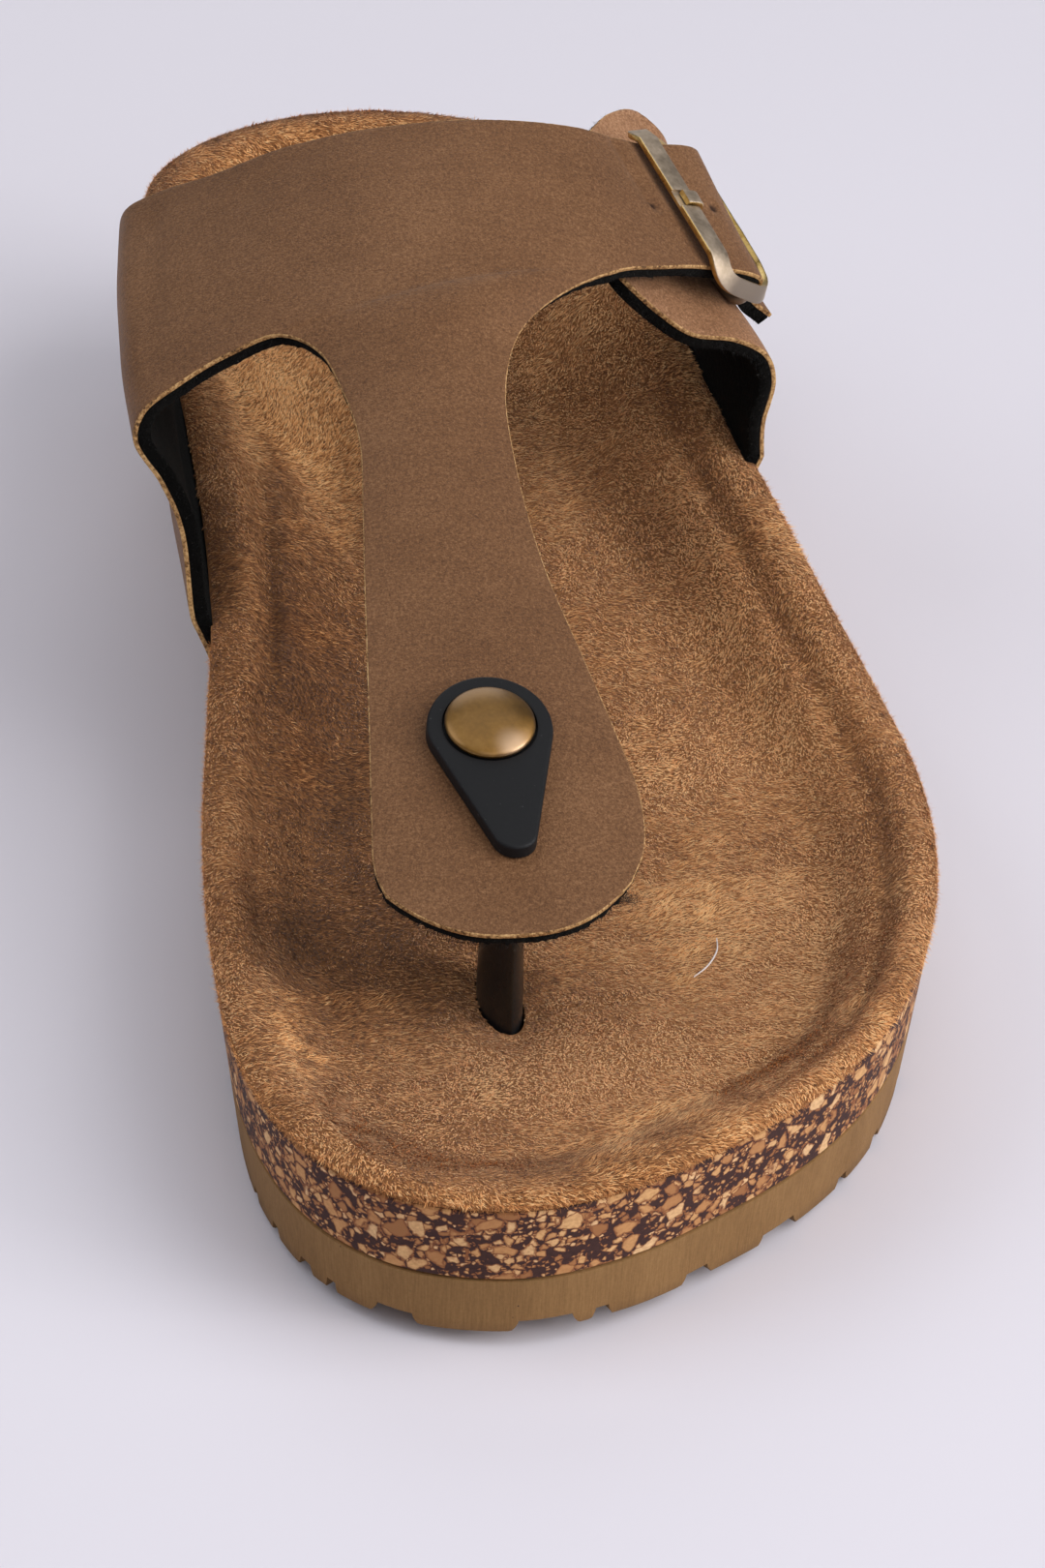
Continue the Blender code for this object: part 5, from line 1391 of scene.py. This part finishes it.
def swept(name, path, section, side, closed, mats):
    m, n = len(section), len(path)
    verts = np.array([p + s * a + u * b for p, s, u in path for a, b in section])
    faces, index = [], []
    for k in range(n if closed else n - 1):
        a, b = k * m, (k + 1) % n * m
        for i in range(m):
            j = (i + 1) % m
            faces.append((a + i, a + j, b + j, b + i))
            index.append(side[i])
    if not closed:
        faces += [tuple(reversed(range(m))), tuple((n - 1) * m + i for i in range(m))]
        index += [1, 1]
    ob = mesh_object(name, verts, faces, mats, index, angle=35)
    bm = bmesh.new()
    bm.from_mesh(ob.data)
    bmesh.ops.recalc_face_normals(bm, faces=bm.faces)
    bm.to_mesh(ob.data)
    bm.free()
    return ob


def buckle_frame():
    flat = frame_path()
    pts = [on_frame(l, w, -(DIP_FRONT - 1.1 * smooth01(0.5 + 0.5 * w / HALF_W) if l > 0 else DIP_REAR) * k) for l, w, k in flat]
    path = []
    n = len(pts)
    for i, (_, w, k) in enumerate(flat):
        along = unit(pts[(i + 1) % n] - pts[i - 1])
        side = unit(np.cross(along, E_N))
        if side.dot(pts[i] - FRAME_O) < 0:
            side = -side
        up = unit(E_N - along * E_N.dot(along))
        half = 0.5 + 0.5 * math.sin(math.pi / 2 * max(-1.0, min(1.0, w / (0.5 * HALF_W))))
        a = (BAR_TILT * (1 - half) + FAR_TILT * half) * (1 - k) + END_TILT * k
        narrow = 1 + (END_WIDE / BAR_WIDE - 1) * k
        path.append((pts[i], (side * math.cos(a) - up * math.sin(a)) * narrow, up * math.cos(a) + side * math.sin(a)))
    sec, side = rounded(BAR_WIDE, 0.72 * BAR_THICK, 0.2)
    sec = [(a, b + 0.14 * BAR_THICK) for a, b in sec]
    body = swept("buckle_frame_fine", path, sec, side, True, [BRASS, BRIGHT])
    h = PIN_WIDE / 2 + 0.3
    notch = prisms("pin_notch", [[[on_bar(l, w, z) for l, w in ((-h, -4.0), (h, -4.0), (h, 4.0), (-h, 4.0))]
                                  for z in (NOTCH_FLOOR, 4.0)]])
    cut(body, notch)
    bake(body, 35)
    drop(notch)
    return body


def centre_bar():
    front = FRAME_FRONT - FRAME_SKEW / 2
    legs = [(-FRAME_REAR, -DIP_REAR), (-FRAME_REAR + 0.1, -CENTRE_DROP + 0.8), (-FRAME_REAR + 0.8, -CENTRE_DROP),
            (front - 0.8, -CENTRE_DROP), (front - 0.1, -CENTRE_DROP + 0.8), (front, -DIP_FRONT)]
    pts = spline([on_frame(l, 0.0, h) for l, h in legs], 5)
    path = []
    for k, p in enumerate(pts):
        along = unit(pts[min(k + 1, len(pts) - 1)] - pts[max(k - 1, 0)])
        path.append((p, E_W, unit(np.cross(along, E_W))))
    ring_of = [(CENTRE_BAR_R * math.cos(2 * math.pi * k / 16), CENTRE_BAR_R * math.sin(2 * math.pi * k / 16)) for k in range(16)]
    return swept("buckle_centre_bar", path, ring_of, [0] * 16, False, [BRASS, BRASS])


def buckle_pin():
    up = -HALF_W + PIN_IN
    low = -CENTRE_DROP - 0.6
    lie = NOTCH_FLOOR + 0.15 + PIN_THICK / 2
    under = [(-CENTRE_BAR_R - 0.35, low + 0.4), (up + 1.3, low), (up + 0.45, low + 0.25), (up, low + 1.1), (up, 0.2),
             (up - 0.2, 0.8)]
    pts = [on_frame(PIN_L, w, h) for w, h in under] + [on_bar(0.0, w, lie + h) for w, h in
                                                       ((2.05, 0.0), (0.9, 0.08), (-0.5, 0.0))]
    pts = spline(pts, 5)
    path = []
    for k, p in enumerate(pts):
        along = unit(pts[min(k + 1, len(pts) - 1)] - pts[max(k - 1, 0)])
        path.append((p, E_L, unit(np.cross(along, E_L))))
    sec, side = rounded(PIN_WIDE, PIN_THICK, 0.2)
    return swept("buckle_pin_fine", path, sec, side, False, [BRASS, BRIGHT])


piece(buckle_frame(), "buckle_frame")
piece(centre_bar(), "buckle_frame")
piece(buckle_pin(), "buckle_pin")


# ------------------------------------------------------------------ toe post and rivet
MID = TONGUE_PLAIN[:, TONGUE_PLAIN.shape[1] // 2]
MID = MID[np.argsort(MID[:, 1])]


def tongue_top(x, y):
    """Height and slope of the tongue's face near its middle."""
    z = np.interp(y, MID[:, 1], MID[:, 2])
    slope = (np.interp(y + 2, MID[:, 1], MID[:, 2]) - np.interp(y - 2, MID[:, 1], MID[:, 2])) / 4
    cx = np.interp(y, MID[:, 1], MID[:, 0])
    return z - 1.6 * ((x - cx) / 16.0) ** 2, slope


PLATE_Z, PLATE_SLOPE = tongue_top(*PLATE_CENTRE)
DOWN = unit((0.0, -1.0, -PLATE_SLOPE))     # along the tongue to the toe
OUT = unit((0.0, -PLATE_SLOPE, 1.0))       # off the tongue


def teardrop(scale, n=64, tip=24, flank=20):
    """Outline of the plate: round end, straight flanks, small round tip."""
    r0, r1 = PLATE_R - scale, PLATE_TIP_R + 0.35 - scale
    tilt = math.asin((r0 - r1) / PLATE_TIP)
    out = [(r0 * math.cos(a), -r0 * math.sin(a)) for a in np.linspace(-tilt, math.pi + tilt, n)]
    end = [(r1 * math.cos(a), PLATE_TIP - r1 * math.sin(a)) for a in np.linspace(math.pi + tilt, 2 * math.pi - tilt, tip)]
    left = [tuple(np.array(out[-1]) + (np.array(end[0]) - np.array(out[-1])) * k / flank) for k in range(1, flank)]
    right = [tuple(np.array(end[-1]) + (np.array(out[0]) - np.array(end[-1])) * k / flank) for k in range(1, flank)]
    pts = np.array(out + left + end + right)
    pts[:, 0] += 0.045 * np.maximum(pts[:, 1], 0.0)
    return pts


def on_plate(a, b, h):
    base = np.array([PLATE_CENTRE[0] + a, PLATE_CENTRE[1], 0.0]) + DOWN * b
    z, _ = tongue_top(base[0], base[1])
    return np.array([base[0], base[1], z]) + OUT * h


def loft(name, loops, mats, angle=40, caps=True):
    n = len(loops[0])
    verts = np.vstack(loops)
    faces = []
    for k in range(len(loops) - 1):
        a, b = k * n, (k + 1) * n
        faces += [(a + i, a + (i + 1) % n, b + (i + 1) % n, b + i) for i in range(n)]
    if caps:
        faces.append(tuple(reversed(range(n))))
        faces.append(tuple((len(loops) - 1) * n + i for i in range(n)))
    ob = mesh_object(name, verts, faces, mats, angle=angle)
    bm = bmesh.new()
    bm.from_mesh(ob.data)
    bmesh.ops.recalc_face_normals(bm, faces=bm.faces)
    bm.to_mesh(ob.data)
    bm.free()
    return ob


def plate():
    """Moulded teardrop with rounded edges and a seat for the rivet."""
    seat, deep, edge = RIVET_R + 0.22, 0.75, 0.42
    rows = [(0.35, 0.0), (0.0, 0.3), (0.0, PLATE_THICK - edge)]
    rows += [(edge * (1 - math.cos(a)), PLATE_THICK - edge + edge * math.sin(a)) for a in np.linspace(0.25, math.pi / 2, 6)]
    loops = [np.array([on_plate(a, b, 0.05 + h) for a, b in teardrop(s)]) for s, h in rows]
    rim = teardrop(edge)
    ang = np.arctan2(rim[:, 1], rim[:, 0])
    hole = np.stack([np.cos(ang), np.sin(ang)], 1)
    for f in (0.25, 0.5, 0.75):
        loops.append(np.array([on_plate(a, b, 0.05 + PLATE_THICK) for a, b in rim * (1 - f) + hole * (seat + 0.25) * f]))
    for r, h in ((seat + 0.25, 0.0), (seat + 0.07, -0.07), (seat, -0.25), (seat, -deep), (seat - 1.5, -deep)):
        loops.append(np.array([on_plate(a, b, 0.05 + PLATE_THICK + h) for a, b in hole * r]))
    return loft("toe_post_plate", loops, [RUBBER])


def post():
    rows = spline(np.array(POST[:5], float), 8)
    neck = np.array([(POST[4][0] + 0.15, 1.7, 4.0, 0.3), (41.5, 1.7, 3.7, 0.3)])
    return loft("toe_post_stem", [oval(*r, n=96, point=1.35) for r in np.vstack([rows, neck])], [STEM], angle=55)


def rivet():
    base = on_plate(0.0, 0.0, PLATE_THICK - 0.35)
    side = np.array([1.0, 0.0, 0.0])
    highlight_spot_at = tuple(world(base + OUT * 1.2 + RIVET_R * (0.38 * side + 0.72 * DOWN)))     # painted highlight: a pale spot on the dome where the key light's highlight falls
    dome = brass_paint("aged_brass_dome", (0.190, 0.090, 0.008), (0.245, 0.118, 0.013), (0.300, 0.154, 0.026), 0.42, 0.05, 0.9,
                       retinted=((*highlight_spot_at, 0.0006, 0.0028, 0.8, (0.37, 0.24, 0.136)),))
    outline_of = spline([(RIVET_R - 0.5, 0.0), (RIVET_R - 0.06, 0.18), (RIVET_R, 0.5), (RIVET_R - 0.22, 0.86), (0.82 * RIVET_R, 1.24),
                         (0.62 * RIVET_R, 1.58), (0.38 * RIVET_R, 1.80), (0.16 * RIVET_R, 1.91), (0.02 * RIVET_R, 1.93)], 4)
    n = 96
    loops = [np.array([base + OUT * h + r * (side * math.cos(2 * math.pi * k / n) + DOWN * math.sin(2 * math.pi * k / n))
                       for k in range(n)]) for r, h in outline_of]
    return loft("rivet_dome", loops, [dome], angle=60)


piece(plate(), "toe_post")
piece(post(), "toe_post")
piece(rivet(), "rivet_cap")


# ------------------------------------------------------------------ lint
def thread(name, points, radius, mat, per=8, n=6):
    pts = spline(points, per)
    loops = []
    for k, p in enumerate(pts):
        along = unit(pts[min(k + 1, len(pts) - 1)] - pts[max(k - 1, 0)])
        side = unit(np.cross(along, (0.3, 0.2, 1.0)))
        up = np.cross(side, along)
        r = radius * (0.35 + 0.65 * math.sin(math.pi * min(max(k / (len(pts) - 1), 0.03), 0.97)) ** 0.4)
        loops.append(np.array([p + r * (side * math.cos(2 * math.pi * i / n) + up * math.sin(2 * math.pi * i / n)) for i in range(n)]))
    return loft(name, loops, [mat])


def plain_hair(name, rgb):
    p = Paint(name, 0.6, 0.3)
    p.set("Base Color", p.mix(p.noise(2.0, 2.0), tuple(0.7 * c for c in rgb), rgb))
    return p.mat


def on_bed(x, y, lift):
    """A place on the cover's face, for something that lies on it."""
    hit, at, _, _ = insole.ray_cast(Vector(world((x, y, 60.0))), Vector((0, 0, -1)))
    z = at.z / MM if hit else 18.0
    return (x, y, z + lift)


lint = thread("lint_fibre", [on_bed(21.2, -66.4, 0.75), on_bed(20.7, -69.2, 0.85), on_bed(18.9, -72.5, 0.8), on_bed(16.8, -74.6, 0.65)],
              0.11, plain_hair("pale_lint", (0.80, 0.74, 0.72)))
piece(lint)


def tuft():
    """A tangle of felt hairs at the outer corner of the tongue."""
    r = np.random.default_rng(9)
    count = 260
    base = np.array([5.6, -84.4, 36.4])
    p = base + r.normal(0, 1, (count, 3)) * np.array([1.0, 0.5, 0.35])
    along = units(r.normal(0, 1, (count, 3)) * np.array([1.0, 0.7, 0.5]) + np.array([0.3, -0.5, -0.1]))
    return fibres("felt_tuft", p, along, np.tile((0.0, 0.2, 1.0), (count, 1)), r.uniform(0.5, 1.5, count), r.uniform(0.05, 0.09, count),
                  r.uniform(0.05, 0.6, count), FUZZ)


piece(tuft())

# ------------------------------------------------------------------ floor, light, camera
scene = bpy.context.scene


def floor():
    p = Paint("pale_floor", 0.7, 0.2)
    p.set("Base Color", p.mix(p.noise(0.004, 2.0), (0.738, 0.715, 0.785), (0.753, 0.730, 0.800)))
    half = 3000.0
    ob = mesh_object("floor", [(-half, -half, 0), (half, -half, 0), (half, half, 0), (-half, half, 0)], [(0, 1, 2, 3)], [p.mat], smooth=False)


floor()


def lamp(name, at, aim, size, watts, rgb):
    light = bpy.data.lights.new(name, "AREA")
    light.shape = "RECTANGLE"
    light.size, light.size_y = size
    light.energy = watts
    light.color = rgb
    ob = bpy.data.objects.new(name, light)
    ob.location = at
    ob.rotation_euler = (Vector(aim) - Vector(at)).to_track_quat("-Z", "Y").to_euler()
    scene.collection.objects.link(ob)
    return ob


lamp("key", (1.02, -0.58, 0.98), (0.0, 0.0, 0.02), (1.5, 1.3), 16.0, (1.0, 0.985, 0.975))
lamp("low_right", (1.25, -0.75, 0.52), (0.0, 0.0, 0.03), (0.6, 0.5), 7.0, (1.0, 0.985, 0.97))
lamp("top", (0.1, 0.0, 1.5), (0.0, 0.0, 0.02), (1.4, 1.4), 4.2, (1.0, 1.0, 1.0))
lamp("front_fill", (0.0, -1.3, 0.9), (0.0, 0.0, 0.02), (1.0, 1.0), 3.6, (1.0, 0.99, 1.0))
lamp("back_fill", (0.0, 1.3, 0.9), (0.0, 0.0, 0.02), (1.0, 1.0), 3.5, (0.97, 0.98, 1.0))
lamp("left_fill", (-1.0, 0.0, 0.9), (0.0, 0.0, 0.02), (1.0, 1.0), 4.9, (0.97, 0.98, 1.0))
sky = bpy.data.worlds.new("studio")
sky.use_nodes = True
sky.node_tree.nodes["Background"].inputs["Color"].default_value = (0.93, 0.93, 1.0, 1.0)
sky.node_tree.nodes["Background"].inputs["Strength"].default_value = 0.16
scene.world = sky
scene.view_settings.view_transform = "Standard"
scene.view_settings.look = "None"

# the camera looks down the shoe from its toe, a little from the inner side
CAM_AT = (-120.336, -716.609, 459.112)
CAM_RIGHT = (0.98731852, -0.15533888, 0.0327409)
CAM_AHEAD = (0.1486661, 0.83237689, -0.53389803)
right, ahead = Vector(CAM_RIGHT), Vector(CAM_AHEAD)
up = right.cross(ahead)
cam = bpy.data.cameras.new("photo_camera")
cam.sensor_width = 36.0
cam.lens = 146.6
cam.clip_start = 0.01
shot = bpy.data.objects.new("photo_camera", cam)
shot.matrix_world = Matrix.Translation(Vector(world(CAM_AT))) @ Matrix((right, up, -ahead)).transposed().to_4x4()
scene.collection.objects.link(shot)
scene.camera = shot
